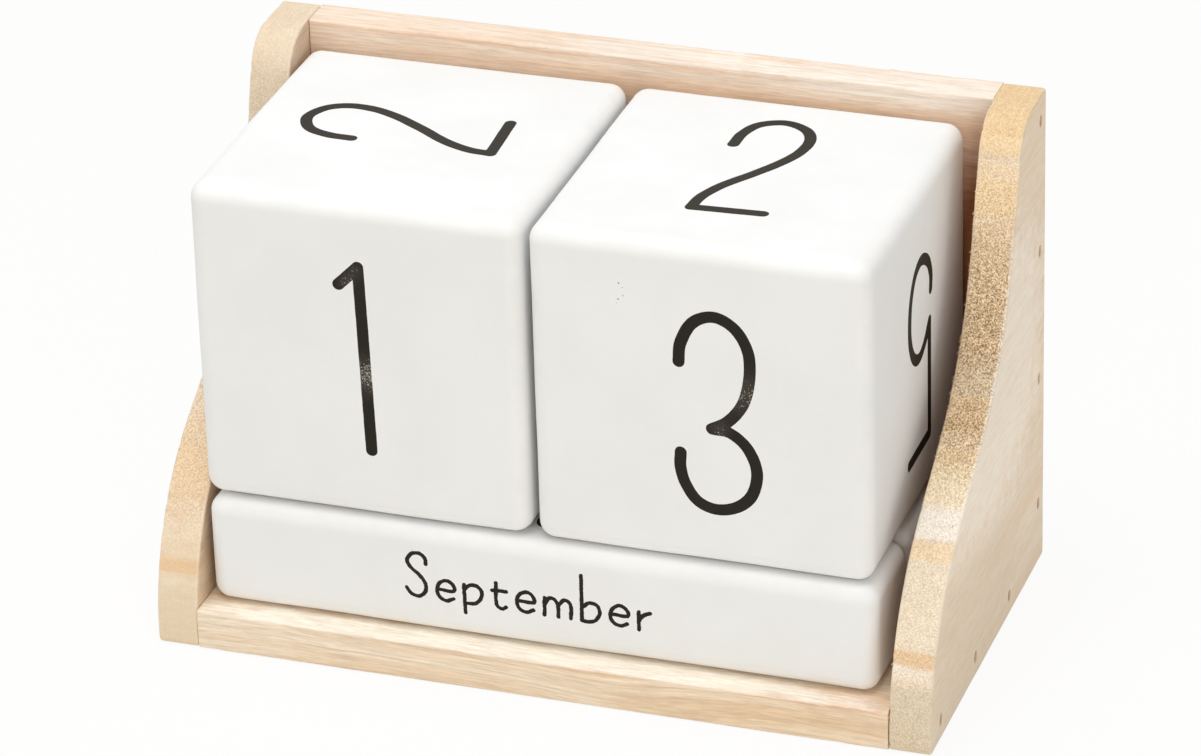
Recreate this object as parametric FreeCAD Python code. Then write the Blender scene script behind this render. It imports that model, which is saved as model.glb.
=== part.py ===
import FreeCAD, Part
import math
import os

# A wooden block calendar: an open stand of four boards, two number cubes side by side, and three
# month bars lying one behind another under them. Every cube and bar is a loose block.
# Sizes are in millimetres. +X is to the reader's right, the front faces -Y and +Z is up. The
# origin is on the table, under the middle of the stand.

# Blocks
CUBE_SIDE = 60.0
CUBE_EDGE_RADIUS = 3.2
BAR_SECTION = 20.5  # a bar is square, so that it can show any of its four faces
BAR_EDGE_RADIUS = 3.1
BAR_NAMES = ("front_month_bar", "middle_month_bar", "rear_month_bar")

# Boards
SIDE_THICKNESS = 7.5
BASE_THICKNESS = 7.5
BACK_THICKNESS = 7.0
BOARD_EDGE_RADIUS = 0.5  # sanded arrises

# Clearances around the blocks, as they lie pushed to the left and to the back
CUBE_GAP_LEFT = 0.6
CUBE_GAP_BETWEEN = 1.1
CUBE_GAP_RIGHT = 4.3
CUBE_GAP_BACK = 1.0
BAR_GAP_LEFT = 1.3
BAR_GAP_RIGHT = 3.2
BAR_GAP_BETWEEN = 0.25
BAR_GAP_BACK = 0.4
FRONT_LEDGE = 3.9  # base showing in front of the front bar
TOP_MARGIN = 4.0  # stand above the tops of the cubes

# Outline of a side panel: a flat top, a round shoulder, a steep neck, a hollow waist, a belly
# and a round nose. Slopes are in degrees below the horizontal, going forward.
TOP_LAND = 2.0  # flat top in front of the back panel
SHOULDER_RADIUS = 8.5
NECK_SLOPE = 73.0
WAIST_RADIUS = 45.0
BELLY_SLOPE = 32.0
NOSE_RADIUS = 39.0
NOSE_HEIGHT = 2.0  # height of the foremost point
NOSE_SETBACK = 0.0  # how far the nose stops behind the front of the base

# Brads: flat headed wire pins, driven a little below the surface
BRAD_LENGTH = 18.0
BRAD_SHANK_WIDE = 1.25
BRAD_SHANK_THIN = 1.0
BRAD_HEAD_WIDE = 1.9
BRAD_HEAD_THIN = 1.25
BRAD_HEAD_THICKNESS = 0.8
BRAD_SINK = 0.4
BACK_BRAD_COUNT = 4  # in each side, into the back panel
BACK_BRAD_TOP_MARGIN = 5.0
BACK_BRAD_BOTTOM_MARGIN = 12.0
BASE_BRAD_COUNT = 3  # in each side, into the base
BASE_BRAD_FRONT_MARGIN = 6.3
BASE_BRAD_REAR_MARGIN = 16.0
REAR_BRAD_COUNT = 3  # through the back panel, into the base
REAR_BRAD_END_MARGIN = 18.0

# Sizes that follow
BAR_COUNT = len(BAR_NAMES)
BAY_WIDTH = CUBE_GAP_LEFT + CUBE_SIDE + CUBE_GAP_BETWEEN + CUBE_SIDE + CUBE_GAP_RIGHT
BAR_LENGTH = BAY_WIDTH - BAR_GAP_LEFT - BAR_GAP_RIGHT
BAR_PITCH = BAR_SECTION + BAR_GAP_BETWEEN
BAR_ROW_DEPTH = BAR_COUNT * BAR_PITCH - BAR_GAP_BETWEEN
SEAT_DEPTH = max(BAR_ROW_DEPTH + BAR_GAP_BACK, CUBE_SIDE + CUBE_GAP_BACK)
BASE_DEPTH = SEAT_DEPTH + FRONT_LEDGE
CUBE_SEAT_HEIGHT = BASE_THICKNESS + BAR_SECTION
STAND_HEIGHT = CUBE_SEAT_HEIGHT + CUBE_SIDE + TOP_MARGIN
STAND_DEPTH = BASE_DEPTH + BACK_THICKNESS
SIDE_DEPTH = STAND_DEPTH - NOSE_SETBACK

# Places that follow
BAY_LEFT = -BAY_WIDTH / 2
BAY_RIGHT = BAY_WIDTH / 2
FRONT_Y = -STAND_DEPTH / 2
REAR_Y = STAND_DEPTH / 2
BACK_FRONT_Y = REAR_Y - BACK_THICKNESS

LEFTWARD = FreeCAD.Vector(-1, 0, 0)
RIGHTWARD = FreeCAD.Vector(1, 0, 0)
FORWARD = FreeCAD.Vector(0, -1, 0)
UPWARD = FreeCAD.Vector(0, 0, 1)


def spread(first, last, count):
    """Gives count places, evenly spaced from first to last."""
    step = (last - first) / (count - 1)
    return [first + index * step for index in range(count)]


def rounded_block(length, depth, height, radius, corner):
    """Makes a block with all its edges rounded, from its low left front corner."""
    block = Part.makeBox(length, depth, height, corner)
    return block.makeFillet(radius, block.Edges)


def board(length, depth, height, corner):
    """Makes a plain board, with the arrises that run along its length sanded round."""
    plain = Part.makeBox(length, depth, height, corner)
    arrises = [edge for edge in plain.Edges if edge.BoundBox.XLength > length / 2]
    return plain.makeFillet(BOARD_EDGE_RADIUS, arrises)


def heading(slope):
    """Gives the direction, in a side's plane, that goes forward and slopes down by slope degrees."""
    angle = math.radians(slope)
    return FreeCAD.Vector(0, -math.cos(angle), -math.sin(angle))


def turn(start, radius, slope_in, slope_out):
    """Makes the arc that leaves start at one slope and ends at another, in a side's plane."""
    sense = 1 if slope_out > slope_in else -1
    middle_slope = (slope_in + slope_out) / 2
    centre = start + heading(slope_in + sense * 90) * radius
    middle = centre - heading(middle_slope + sense * 90) * radius
    end = centre - heading(slope_out + sense * 90) * radius
    return Part.Arc(start, middle, end).toShape(), end


def neck_and_belly_lengths():
    """Works out the two straight runs of the outline, so that it ends at the nose.

    The turns have fixed radii and slopes. What they leave of the side's depth and height is
    made up by the neck and the belly, which run at two known slopes.
    """
    neck = math.radians(NECK_SLOPE)
    belly = math.radians(BELLY_SLOPE)
    forward = SIDE_DEPTH - BACK_THICKNESS - TOP_LAND
    forward -= SHOULDER_RADIUS * math.sin(neck)
    forward -= WAIST_RADIUS * (math.sin(neck) - math.sin(belly))
    forward -= NOSE_RADIUS * (1 - math.sin(belly))
    down = STAND_HEIGHT - NOSE_HEIGHT
    down -= SHOULDER_RADIUS * (1 - math.cos(neck))
    down -= WAIST_RADIUS * (math.cos(belly) - math.cos(neck))
    down -= NOSE_RADIUS * math.cos(belly)
    between = math.sin(neck - belly)
    neck_length = (down * math.cos(belly) - forward * math.sin(belly)) / between
    belly_length = (forward * math.sin(neck) - down * math.cos(neck)) / between
    return neck_length, belly_length


def side_outline(x):
    """Makes the closed outline of a side panel, in the plane at x."""
    neck_length, belly_length = neck_and_belly_lengths()
    foot_slope = 90 + math.degrees(math.asin(NOSE_HEIGHT / NOSE_RADIUS))
    foot_rear = FreeCAD.Vector(x, REAR_Y, 0)
    top_rear = FreeCAD.Vector(x, REAR_Y, STAND_HEIGHT)
    top_front = FreeCAD.Vector(x, BACK_FRONT_Y - TOP_LAND, STAND_HEIGHT)
    shoulder, neck_top = turn(top_front, SHOULDER_RADIUS, 0, NECK_SLOPE)
    neck_foot = neck_top + heading(NECK_SLOPE) * neck_length
    waist, belly_top = turn(neck_foot, WAIST_RADIUS, NECK_SLOPE, BELLY_SLOPE)
    belly_foot = belly_top + heading(BELLY_SLOPE) * belly_length
    nose, foot_front = turn(belly_foot, NOSE_RADIUS, BELLY_SLOPE, foot_slope)
    edges = [
        Part.makeLine(foot_rear, top_rear),
        Part.makeLine(top_rear, top_front),
        shoulder,
        Part.makeLine(neck_top, neck_foot),
        waist,
        Part.makeLine(belly_top, belly_foot),
        nose,
        Part.makeLine(foot_front, foot_rear),
    ]
    return Part.Wire(edges)


def side_panel(x):
    """Makes a side panel whose left face is at x, with its outline sanded on both faces."""
    plain = Part.Face(side_outline(x)).extrude(RIGHTWARD * SIDE_THICKNESS)
    arrises = [edge for edge in plain.Edges if edge.BoundBox.XLength < SIDE_THICKNESS / 2]
    return plain.makeFillet(BOARD_EDGE_RADIUS, arrises)


def box_along(axis, start, width, thinness, length):
    """Makes a bar of rectangular section that runs from start along axis.

    Its wide way stands upright on a bar that runs to the left or right, and lies across the
    stand on one that runs to the rear or front.
    """
    across = UPWARD if abs(axis.x) > 0.5 else RIGHTWARD
    other = axis.cross(across)
    corner = start - across * (width / 2) - other * (thinness / 2)
    wire = Part.makePolygon(
        [
            corner,
            corner + across * width,
            corner + across * width + other * thinness,
            corner + other * thinness,
            corner,
        ]
    )
    return Part.Face(wire).extrude(axis * length)


def brad(surface_point, inward):
    """Makes one brad, driven inward from a point on the surface, with its head below it."""
    head_top = surface_point + inward * BRAD_SINK
    head = box_along(inward, head_top, BRAD_HEAD_WIDE, BRAD_HEAD_THIN, BRAD_HEAD_THICKNESS)
    shank = box_along(inward, head_top, BRAD_SHANK_WIDE, BRAD_SHANK_THIN, BRAD_LENGTH)
    return head.fuse(shank).removeSplitter().Solids[0]


def punch_mark(surface_point, inward):
    """Makes the slot that the punch leaves over a brad's head."""
    return box_along(inward, surface_point, BRAD_HEAD_WIDE, BRAD_HEAD_THIN, BRAD_SINK)


def back_brad_points(x):
    """Gives the places of the brads on a side's outer face, level with the back panel."""
    heights = spread(BACK_BRAD_BOTTOM_MARGIN, STAND_HEIGHT - BACK_BRAD_TOP_MARGIN, BACK_BRAD_COUNT)
    y = REAR_Y - BACK_THICKNESS / 2
    return [FreeCAD.Vector(x, y, z) for z in heights]


def base_brad_points(x):
    """Gives the places of the brads on a side's outer face, level with the base."""
    first_y = FRONT_Y + BASE_BRAD_FRONT_MARGIN
    last_y = BACK_FRONT_Y - BASE_BRAD_REAR_MARGIN
    z = BASE_THICKNESS / 2
    return [FreeCAD.Vector(x, y, z) for y in spread(first_y, last_y, BASE_BRAD_COUNT)]


def rear_brad_points():
    """Gives the places of the brads on the rear of the back panel, level with the base."""
    first_x = BAY_LEFT + REAR_BRAD_END_MARGIN
    last_x = BAY_RIGHT - REAR_BRAD_END_MARGIN
    z = BASE_THICKNESS / 2
    return [FreeCAD.Vector(x, REAR_Y, z) for x in spread(first_x, last_x, REAR_BRAD_COUNT)]


def drive(pieces, board_names, points, inward):
    """Drives a brad at each point: cuts the boards to fit, and gives the brads as one group."""
    brads = [brad(point, inward) for point in points]
    marks = [punch_mark(point, inward) for point in points]
    for board_name in board_names:
        pieces[board_name] = pieces[board_name].cut(brads + marks)
    return Part.makeCompound(brads)


def cube(x):
    """Makes a number cube whose left face is at x, resting on the month bars."""
    corner = FreeCAD.Vector(x, BACK_FRONT_Y - CUBE_GAP_BACK - CUBE_SIDE, CUBE_SEAT_HEIGHT)
    return rounded_block(CUBE_SIDE, CUBE_SIDE, CUBE_SIDE, CUBE_EDGE_RADIUS, corner)


def month_bar(place):
    """Makes a month bar, lying on the base. Place 0 is the front one."""
    row_front_y = BACK_FRONT_Y - BAR_GAP_BACK - BAR_ROW_DEPTH
    y = row_front_y + place * BAR_PITCH
    corner = FreeCAD.Vector(BAY_LEFT + BAR_GAP_LEFT, y, BASE_THICKNESS)
    return rounded_block(BAR_LENGTH, BAR_SECTION, BAR_SECTION, BAR_EDGE_RADIUS, corner)


def stand():
    """Makes the four boards and the rows of brads that hold them."""
    left_face = BAY_LEFT - SIDE_THICKNESS
    right_face = BAY_RIGHT + SIDE_THICKNESS
    base_corner = FreeCAD.Vector(BAY_LEFT, FRONT_Y, 0)
    back_corner = FreeCAD.Vector(BAY_LEFT, BACK_FRONT_Y, 0)
    pieces = {
        "left_side_panel": side_panel(left_face),
        "right_side_panel": side_panel(BAY_RIGHT),
        "base_panel": board(BAY_WIDTH, BASE_DEPTH, BASE_THICKNESS, base_corner),
        "back_panel": board(BAY_WIDTH, BACK_THICKNESS, STAND_HEIGHT, back_corner),
    }
    for side, face, inward in (("left", left_face, RIGHTWARD), ("right", right_face, LEFTWARD)):
        side_name = side + "_side_panel"
        back_points = back_brad_points(face)
        base_points = base_brad_points(face)
        pieces[side + "_back_brads"] = drive(pieces, (side_name, "back_panel"), back_points, inward)
        pieces[side + "_base_brads"] = drive(pieces, (side_name, "base_panel"), base_points, inward)
    boards_at_rear = ("back_panel", "base_panel")
    pieces["rear_base_brads"] = drive(pieces, boards_at_rear, rear_brad_points(), FORWARD)
    return pieces


def blocks():
    """Makes the loose cubes and bars, as they lie in the stand."""
    tens_x = BAY_LEFT + CUBE_GAP_LEFT
    pieces = {
        "tens_cube": cube(tens_x),
        "units_cube": cube(tens_x + CUBE_SIDE + CUBE_GAP_BETWEEN),
    }
    for place, bar_name in enumerate(BAR_NAMES):
        pieces[bar_name] = month_bar(place)
    return pieces


os.makedirs("parts", exist_ok=True)
for name, shape in {**stand(), **blocks()}.items():
    shape.exportStep("parts/" + name + ".step")
    print(f"{name}: {len(shape.Solids)} solid(s), {shape.Volume / 1000:.2f} cm3")
print("neck and belly lengths", [round(length, 2) for length in neck_and_belly_lengths()])
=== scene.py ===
"""Looks of a perpetual block calendar: a bare wooden stand, two number cubes and three month bars.

Sizes are in millimetres unless a name says otherwise, and become metres when a mesh is made.
+X is to the reader's right, the front faces -Y and +Z is up.
"""

from __future__ import annotations

import logging
import math
import random
from collections.abc import Callable, Sequence
from dataclasses import dataclass, field
from enum import Enum

import bmesh
import bpy
import numpy as np
from mathutils import Matrix, Vector, noise


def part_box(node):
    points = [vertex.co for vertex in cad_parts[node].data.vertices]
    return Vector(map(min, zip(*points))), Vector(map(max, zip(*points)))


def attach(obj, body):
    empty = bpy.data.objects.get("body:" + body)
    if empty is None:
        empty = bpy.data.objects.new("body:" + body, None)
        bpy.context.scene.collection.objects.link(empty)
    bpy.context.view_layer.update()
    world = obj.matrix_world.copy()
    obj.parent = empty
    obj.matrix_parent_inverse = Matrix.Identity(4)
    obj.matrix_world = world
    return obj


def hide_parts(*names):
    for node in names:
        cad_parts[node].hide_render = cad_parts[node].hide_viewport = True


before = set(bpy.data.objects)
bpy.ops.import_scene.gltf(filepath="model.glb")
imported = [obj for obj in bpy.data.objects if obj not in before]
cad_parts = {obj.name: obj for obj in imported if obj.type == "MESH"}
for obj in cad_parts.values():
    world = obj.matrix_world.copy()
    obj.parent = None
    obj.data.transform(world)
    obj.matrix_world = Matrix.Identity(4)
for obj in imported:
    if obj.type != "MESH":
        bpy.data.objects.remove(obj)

LOG = logging.getLogger("block_calendar")
MM = 0.001
WELD = 0.0004  # edges shorter than this are closed up
SHARP_ANGLE = 48.0  # degrees from which an edge is shaded as a sharp one
ARRIS = "arris"  # mask on the points of a mesh: 1 on a rounded edge, 0 on a flat
PUNCHED = "punched"  # 1 at the rim of a punch mark, 0 away from it
INK = "ink"  # 1 where the print is solid, less where it is worn thin and where a painted reflection pales it on the top faces
FUR = "fur"  # 1 where the saw tore the grain, 0 where the wood is smooth

Colour = tuple[float, float, float, float]
Triple = tuple[float, float, float]
Point = tuple[float, float]
Stroke = tuple[Point, ...]
Vertex = bmesh.types.BMVert
Material = bpy.types.Material
Piece = bpy.types.Object
Node = bpy.types.Node
Socket = bpy.types.NodeSocket
Sockets = bpy.types.bpy_prop_collection
Tree = bpy.types.NodeTree


def srgb(red: float, green: float, blue: float) -> Colour:
    """Turns a colour in display values into the linear colour that shaders take.

    Args:
        red, green, blue: display values from 0 to 255.

    Returns:
        The linear colour, with full alpha.
    """
    linear = []
    for value in (red / 255, green / 255, blue / 255):
        linear.append(value / 12.92 if value <= 0.04045 else ((value + 0.055) / 1.055) ** 2.4)
    return (*linear, 1.0)


def smooth_step(low: float, high: float, value: float) -> float:
    """Gives 0 below low, 1 above high, and an even S between them."""
    share = min(1.0, max(0.0, (value - low) / (high - low)))
    return share * share * (3 - 2 * share)


def box_mm(node: str) -> tuple[Vector, Vector]:
    """Gives a CAD node's lowest and highest corner in millimetres."""
    low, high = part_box(node)
    return low / MM, high / MM


# ---------------------------------------------------------------------------------------------
# Shader tools
# ---------------------------------------------------------------------------------------------


class Recipe:
    """Adds nodes to one node tree, so that a shader reads from top to bottom."""

    def __init__(self, tree: Tree) -> None:
        """Takes the node tree that the nodes go in."""
        self.tree = tree

    def feed(self, sockets: Sockets, values: dict) -> None:
        """Links each value to its socket if it is an output, and else sets it there."""
        for name, value in values.items():
            if isinstance(value, Socket):
                self.tree.links.new(value, sockets[name])
            else:
                sockets[name].default_value = value

    def add(self, kind: str, inputs: dict | None = None, **settings: object) -> Node:
        """Adds a node.

        Args:
            kind: the node's type.
            inputs: what each input gets, by its name or number.
            **settings: the node's own properties.

        Returns:
            The node.
        """
        node = self.tree.nodes.new(kind)
        for name, value in settings.items():
            setattr(node, name, value)
        self.feed(node.inputs, inputs or {})
        return node

    def math(self, operation: str, first: object, second: object = 0.0) -> Socket:
        """Adds one step of arithmetic and gives its result."""
        return self.add("ShaderNodeMath", {0: first, 1: second}, operation=operation).outputs[0]

    def plus(self, first: object, second: object) -> Socket:
        """Adds two values."""
        return self.math("ADD", first, second)

    def minus(self, first: object, second: object) -> Socket:
        """Takes the second value from the first."""
        return self.math("SUBTRACT", first, second)

    def times(self, first: object, second: object) -> Socket:
        """Multiplies two values."""
        return self.math("MULTIPLY", first, second)

    def vector(self, operation: str, first: object, second: object) -> Socket:
        """Adds one step of arithmetic on vectors and gives its result."""
        return self.add("ShaderNodeVectorMath", {0: first, 1: second}, operation=operation).outputs[0]

    def combined(self, x: object, y: object, z: object) -> Socket:
        """Makes a vector of three values."""
        return self.add("ShaderNodeCombineXYZ", {0: x, 1: y, 2: z}).outputs[0]

    def mask(self, name: str) -> Socket:
        """Reads one of the masks on the points of a mesh."""
        return self.add("ShaderNodeAttribute", attribute_name=name).outputs["Fac"]

    def noise(self, place: Socket, lump: Triple, detail: float = 2.0, roughness: float = 0.5) -> Socket:
        """Adds noise whose lumps have the given size along each axis, and gives its value."""
        spread = self.vector("MULTIPLY", place, tuple(1 / size for size in lump))
        inputs = {"Vector": spread, "Scale": 1.0, "Detail": detail, "Roughness": roughness}
        return self.add("ShaderNodeTexNoise", inputs).outputs[0]

    def ramp(self, value: Socket, low: object, high: object, start: float = 0.0, end: float = 1.0) -> Socket:
        """Maps value from low..high to start..end, smoothly and within those ends."""
        inputs = {"Value": value, "From Min": low, "From Max": high, "To Min": start, "To Max": end}
        return self.add("ShaderNodeMapRange", inputs, interpolation_type="SMOOTHSTEP").outputs[0]

    def blend(self, share: object, first: object, second: object, mode: str = "MIX") -> Socket:
        """Mixes two colours."""
        inputs = {0: share, 6: first, 7: second}
        return self.add("ShaderNodeMix", inputs, data_type="RGBA", blend_type=mode).outputs[2]

    def group(self, tree: Tree, inputs: dict) -> Sockets:
        """Places a node group with its own values, and gives its outputs."""
        return self.add("ShaderNodeGroup", inputs, node_tree=tree).outputs

    def bump(self, height: Socket, depth: float) -> Socket:
        """Turns a height into the surface's normal, depth millimetres deep at a height of 1."""
        inputs = {"Height": height, "Distance": depth * MM, "Strength": 1.0}
        return self.add("ShaderNodeBump", inputs).outputs[0]


SOCKET_KINDS = {"float": "NodeSocketFloat", "vector": "NodeSocketVector", "colour": "NodeSocketColor"}


def new_group(name: str, inputs: dict, outputs: dict) -> tuple[Recipe, Sockets, Sockets]:
    """Starts a shader node group.

    Args:
        name: the group's name.
        inputs: each input's kind by its name.
        outputs: each output's kind by its name.

    Returns:
        The recipe for the group's inside, the sockets that it is given and those that it fills.
    """
    tree = bpy.data.node_groups.new(name, "ShaderNodeTree")
    for direction, sockets in (("INPUT", inputs), ("OUTPUT", outputs)):
        for socket_name, kind in sockets.items():
            tree.interface.new_socket(name=socket_name, in_out=direction, socket_type=SOCKET_KINDS[kind])
    recipe = Recipe(tree)
    return recipe, recipe.add("NodeGroupInput").outputs, recipe.add("NodeGroupOutput").inputs


def wood_rings_group() -> Tree:
    """Makes solid wood's rings, which run right through a board.

    The Position is in millimetres, X runs along the grain and Z across the rings.

    Returns:
        The group, with the wood's Color, the Depth that its rings are counted by, and the Bent position,
        in which Z is that depth.
    """
    inputs = {
        "Position": "vector", "Ring Pitch": "float", "Ring Warp": "float", "Ring Strength": "float",
        "Pale": "colour", "Warm": "colour", "Ring": "colour",
    }
    outputs = {"Color": "colour", "Depth": "float", "Bent": "vector"}
    recipe, given, result = new_group("wood_rings", inputs, outputs)
    place = given["Position"]

    # Rings: planes across Z, bent by slow noise and unevenly spaced
    slow = recipe.noise(place, (75, 24, 24), 2.0)
    bend = recipe.times(recipe.minus(slow, 0.5), given["Ring Warp"])
    parts = recipe.add("ShaderNodeSeparateXYZ", {0: place})
    depth = recipe.plus(parts.outputs["Z"], bend)
    bent = recipe.combined(parts.outputs["X"], parts.outputs["Y"], depth)
    count = recipe.math("DIVIDE", depth, given["Ring Pitch"])
    drift = recipe.add("ShaderNodeTexNoise", {"W": count, "Scale": 0.6, "Detail": 1.0}, noise_dimensions="1D")
    year = recipe.plus(count, recipe.times(drift.outputs[0], 1.7))
    season = recipe.math("FRACT", year)
    rise = recipe.ramp(season, 0.35, 0.93)
    fall = recipe.ramp(season, 0.95, 1.0, 1.0, 0.0)
    late = recipe.times(recipe.math("POWER", rise, 1.8), fall)
    lottery = recipe.add("ShaderNodeTexWhiteNoise", {"W": recipe.math("FLOOR", year)}, noise_dimensions="1D")
    boldness = recipe.ramp(lottery.outputs[0], 0.0, 1.0, 0.15, 1.0)
    ring = recipe.times(recipe.times(late, boldness), given["Ring Strength"])
    broad = recipe.noise(bent, (60, 6, 2.6), 3.0, 0.6)
    colour = recipe.blend(recipe.ramp(broad, 0.3, 0.7), given["Pale"], given["Warm"])
    recipe.feed(result, {"Color": recipe.blend(ring, colour, given["Ring"]), "Depth": depth, "Bent": bent})
    return recipe.tree


def grain_band_group() -> Tree:
    """Lays one band of darker or paler wood over a colour, between two depths.

    Returns:
        The group, with the Color after the band.
    """
    inputs = {
        "Color": "colour", "Depth": "float", "Low": "float", "High": "float", "Low Blur": "float",
        "High Blur": "float", "Tint": "colour", "Strength": "float",
    }
    recipe, given, result = new_group("grain_band", inputs, {"Color": "colour"})
    depth, low, high = given["Depth"], given["Low"], given["High"]
    start = recipe.minus(low, given["Low Blur"])
    stop = recipe.plus(high, given["High Blur"])
    inside = recipe.times(recipe.ramp(depth, start, low), recipe.ramp(depth, high, stop, 1.0, 0.0))
    share = recipe.times(inside, given["Strength"])
    recipe.feed(result, {"Color": recipe.blend(share, given["Color"], given["Tint"])})
    return recipe.tree


def soft_patch_group() -> Tree:
    """Lays one patch of another colour round a place, such as bleached or stained wood or painted shade, with
    a ragged border.

    The Position, the Centre and the Reach along each axis are in millimetres.

    Returns:
        The group, with the Color after the patch.
    """
    inputs = {
        "Position": "vector", "Color": "colour", "Centre": "vector", "Reach": "vector", "Ragged": "float",
        "Tint": "colour", "Strength": "float",
    }
    recipe, given, result = new_group("soft_patch", inputs, {"Color": "colour"})
    place = given["Position"]
    away = recipe.vector("DIVIDE", recipe.vector("SUBTRACT", place, given["Centre"]), given["Reach"])
    distance = recipe.add("ShaderNodeVectorMath", {0: away}, operation="LENGTH").outputs["Value"]
    lumps = recipe.noise(place, (6, 3, 3), 4.0, 0.65)
    ragged = recipe.times(recipe.minus(lumps, 0.5), given["Ragged"])
    inside = recipe.ramp(recipe.plus(distance, ragged), 1.0, 0.55)
    share = recipe.times(inside, given["Strength"])
    recipe.feed(result, {"Color": recipe.blend(share, given["Color"], given["Tint"])})
    return recipe.tree


def wood_fibre_group() -> Tree:
    """Adds fibres, pores and torn fur to a wood's colour, with the torn crumb's highlights and shade painted
    into it.

    The Position is in millimetres and X runs along the grain. Fur is 1 where a saw tore the end grain.

    Returns:
        The group, with the wood's Color, its surface Height and its Roughness.
    """
    inputs = {
        "Position": "vector", "Color": "colour", "End Grain": "float", "Fur": "float", "Threads": "float",
        "Wisps": "float", "Torn": "colour", "Pore And Pit Shade": "colour",
    }
    outputs = {"Color": "colour", "Height": "float", "Roughness": "float"}
    recipe, given, result = new_group("wood_fibre", inputs, outputs)
    place, end_grain, fur = given["Position"], given["End Grain"], given["Fur"]
    thread = recipe.noise(place, (22, 0.9, 0.55), 3.0, 0.62)
    fine = recipe.noise(place, (4.5, 0.36, 0.3), 3.0, 0.7)
    crumb = recipe.noise(place, (0.48, 0.32, 0.26), 3.0, 0.7)
    clump = recipe.noise(place, (1.4, 0.95, 0.7), 2.0, 0.6)
    tuft = recipe.noise(place, (1.2, 2.2, 1.1), 3.0, 0.62)
    grit = recipe.plus(recipe.ramp(fur, 0.0, 0.1, 0.0, 0.2), recipe.times(fur, 0.8))

    # Fibres: long threads that read as a speckle on end grain, and where it is torn a strong speckle that is
    # painted highlight and shade of the crumbly surface
    line = recipe.times(recipe.ramp(thread, 0.34, 0.66, -0.075, 0.03), given["Threads"])
    wisp = recipe.times(recipe.ramp(fine, 0.36, 0.64, -0.05, 0.035), given["Wisps"])
    along = recipe.plus(line, wisp)
    speckle = recipe.ramp(fine, 0.32, 0.68, -0.03, 0.03)
    across = recipe.plus(speckle, recipe.ramp(tuft, 0.3, 0.7, -0.02, 0.02))
    shift = recipe.add("ShaderNodeMix", {0: end_grain, 2: along, 3: across}, data_type="FLOAT").outputs[0]
    crumb_shading = recipe.ramp(crumb, 0.36, 0.64, -0.54, 0.5)
    grain = recipe.plus(crumb_shading, recipe.ramp(clump, 0.34, 0.66, -0.12, 0.1))
    shift = recipe.plus(shift, recipe.times(grain, grit))
    channels = [recipe.plus(recipe.times(shift, share), 1.0) for share in (1.0, 1.16, 1.36)]
    tint = recipe.combined(*channels)

    # Fur: browned ground, and dark pits between the torn ends, which are painted shade in the hollows
    ground = recipe.times(recipe.ramp(tuft, 0.3, 0.7, 0.35, 0.8), fur)
    colour = recipe.blend(ground, given["Color"], given["Torn"])
    colour = recipe.blend(1.0, colour, tint, "MULTIPLY")
    pit_shade = recipe.times(recipe.ramp(crumb, 0.4, 0.32, 0.0, 0.45), recipe.times(grit, grit))
    colour = recipe.blend(pit_shade, colour, given["Pore And Pit Shade"])

    # Pores: thin tubes along the grain
    spread = recipe.vector("MULTIPLY", place, (1 / 8.0, 1 / 1.15, 1 / 1.15))
    tubes = recipe.add("ShaderNodeTexVoronoi", {"Vector": spread, "Scale": 1.0})
    lottery = recipe.add("ShaderNodeSeparateColor", {0: tubes.outputs["Color"]}).outputs[0]
    kept = recipe.ramp(lottery, 0.8, 0.86)
    hole = recipe.times(recipe.ramp(tubes.outputs["Distance"], 0.06, 0.15, 1.0, 0.0), kept)
    hole_share = recipe.times(hole, recipe.ramp(end_grain, 0.0, 1.0, 0.16, 0.5))
    colour = recipe.blend(hole_share, colour, given["Pore And Pit Shade"])

    # Height: calm threads, a rough crumb where it is torn, and the pores
    calm = recipe.plus(recipe.times(thread, 0.22), recipe.times(fine, 0.16))
    rough = recipe.times(recipe.plus(crumb, recipe.times(tuft, 0.5)), grit)
    rough = recipe.times(rough, 3.6)
    relief = recipe.minus(recipe.plus(calm, rough), recipe.times(hole, 0.4))
    gloss = recipe.ramp(thread, 0.2, 0.8, 0.72, 0.58)
    recipe.feed(result, {"Color": colour, "Height": relief, "Roughness": gloss})
    return recipe.tree


def arris_wear_and_highlight_group() -> Tree:
    """Makes the mask of rounded edges, broken up where sanding and handling went deeper; the finishes pale
    the edges by it, as wear and partly as a painted highlight.

    Returns:
        The group, with its Mask.
    """
    inputs = {"Position": "vector", "Lump Size": "float", "Amount": "float"}
    recipe, given, result = new_group("arris_wear_and_highlight", inputs, {"Mask": "float"})
    size = recipe.math("DIVIDE", 1.0, given["Lump Size"])
    spread = recipe.vector("MULTIPLY", given["Position"], recipe.combined(size, size, size))
    noise_inputs = {"Vector": spread, "Scale": 1.0, "Detail": 3.0, "Roughness": 0.6}
    lumps = recipe.add("ShaderNodeTexNoise", noise_inputs).outputs[0]
    mask = recipe.times(recipe.ramp(lumps, 0.3, 0.62), recipe.ramp(recipe.mask(ARRIS), 0.05, 0.9))
    recipe.feed(result, {"Mask": recipe.times(mask, given["Amount"])})
    return recipe.tree


def handling_group() -> Tree:
    """Makes faint uneven soiling and sheen, as hands leave it on boards and blocks.

    Returns:
        The group, with a soiling Mask and a Sheen between 0 and 1.
    """
    inputs = {"Position": "vector", "Amount": "float"}
    recipe, given, result = new_group("handling", inputs, {"Mask": "float", "Sheen": "float"})
    place = given["Position"]
    clouds = recipe.noise(place, (19, 19, 19), 4.0, 0.6)
    smears = recipe.noise(place, (5, 7, 4), 5.0, 0.68)
    soil = recipe.times(recipe.ramp(clouds, 0.4, 0.75), recipe.ramp(smears, 0.3, 0.8))
    sheen = recipe.ramp(smears, 0.25, 0.75)
    recipe.feed(result, {"Mask": recipe.times(soil, given["Amount"]), "Sheen": sheen})
    return recipe.tree


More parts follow.
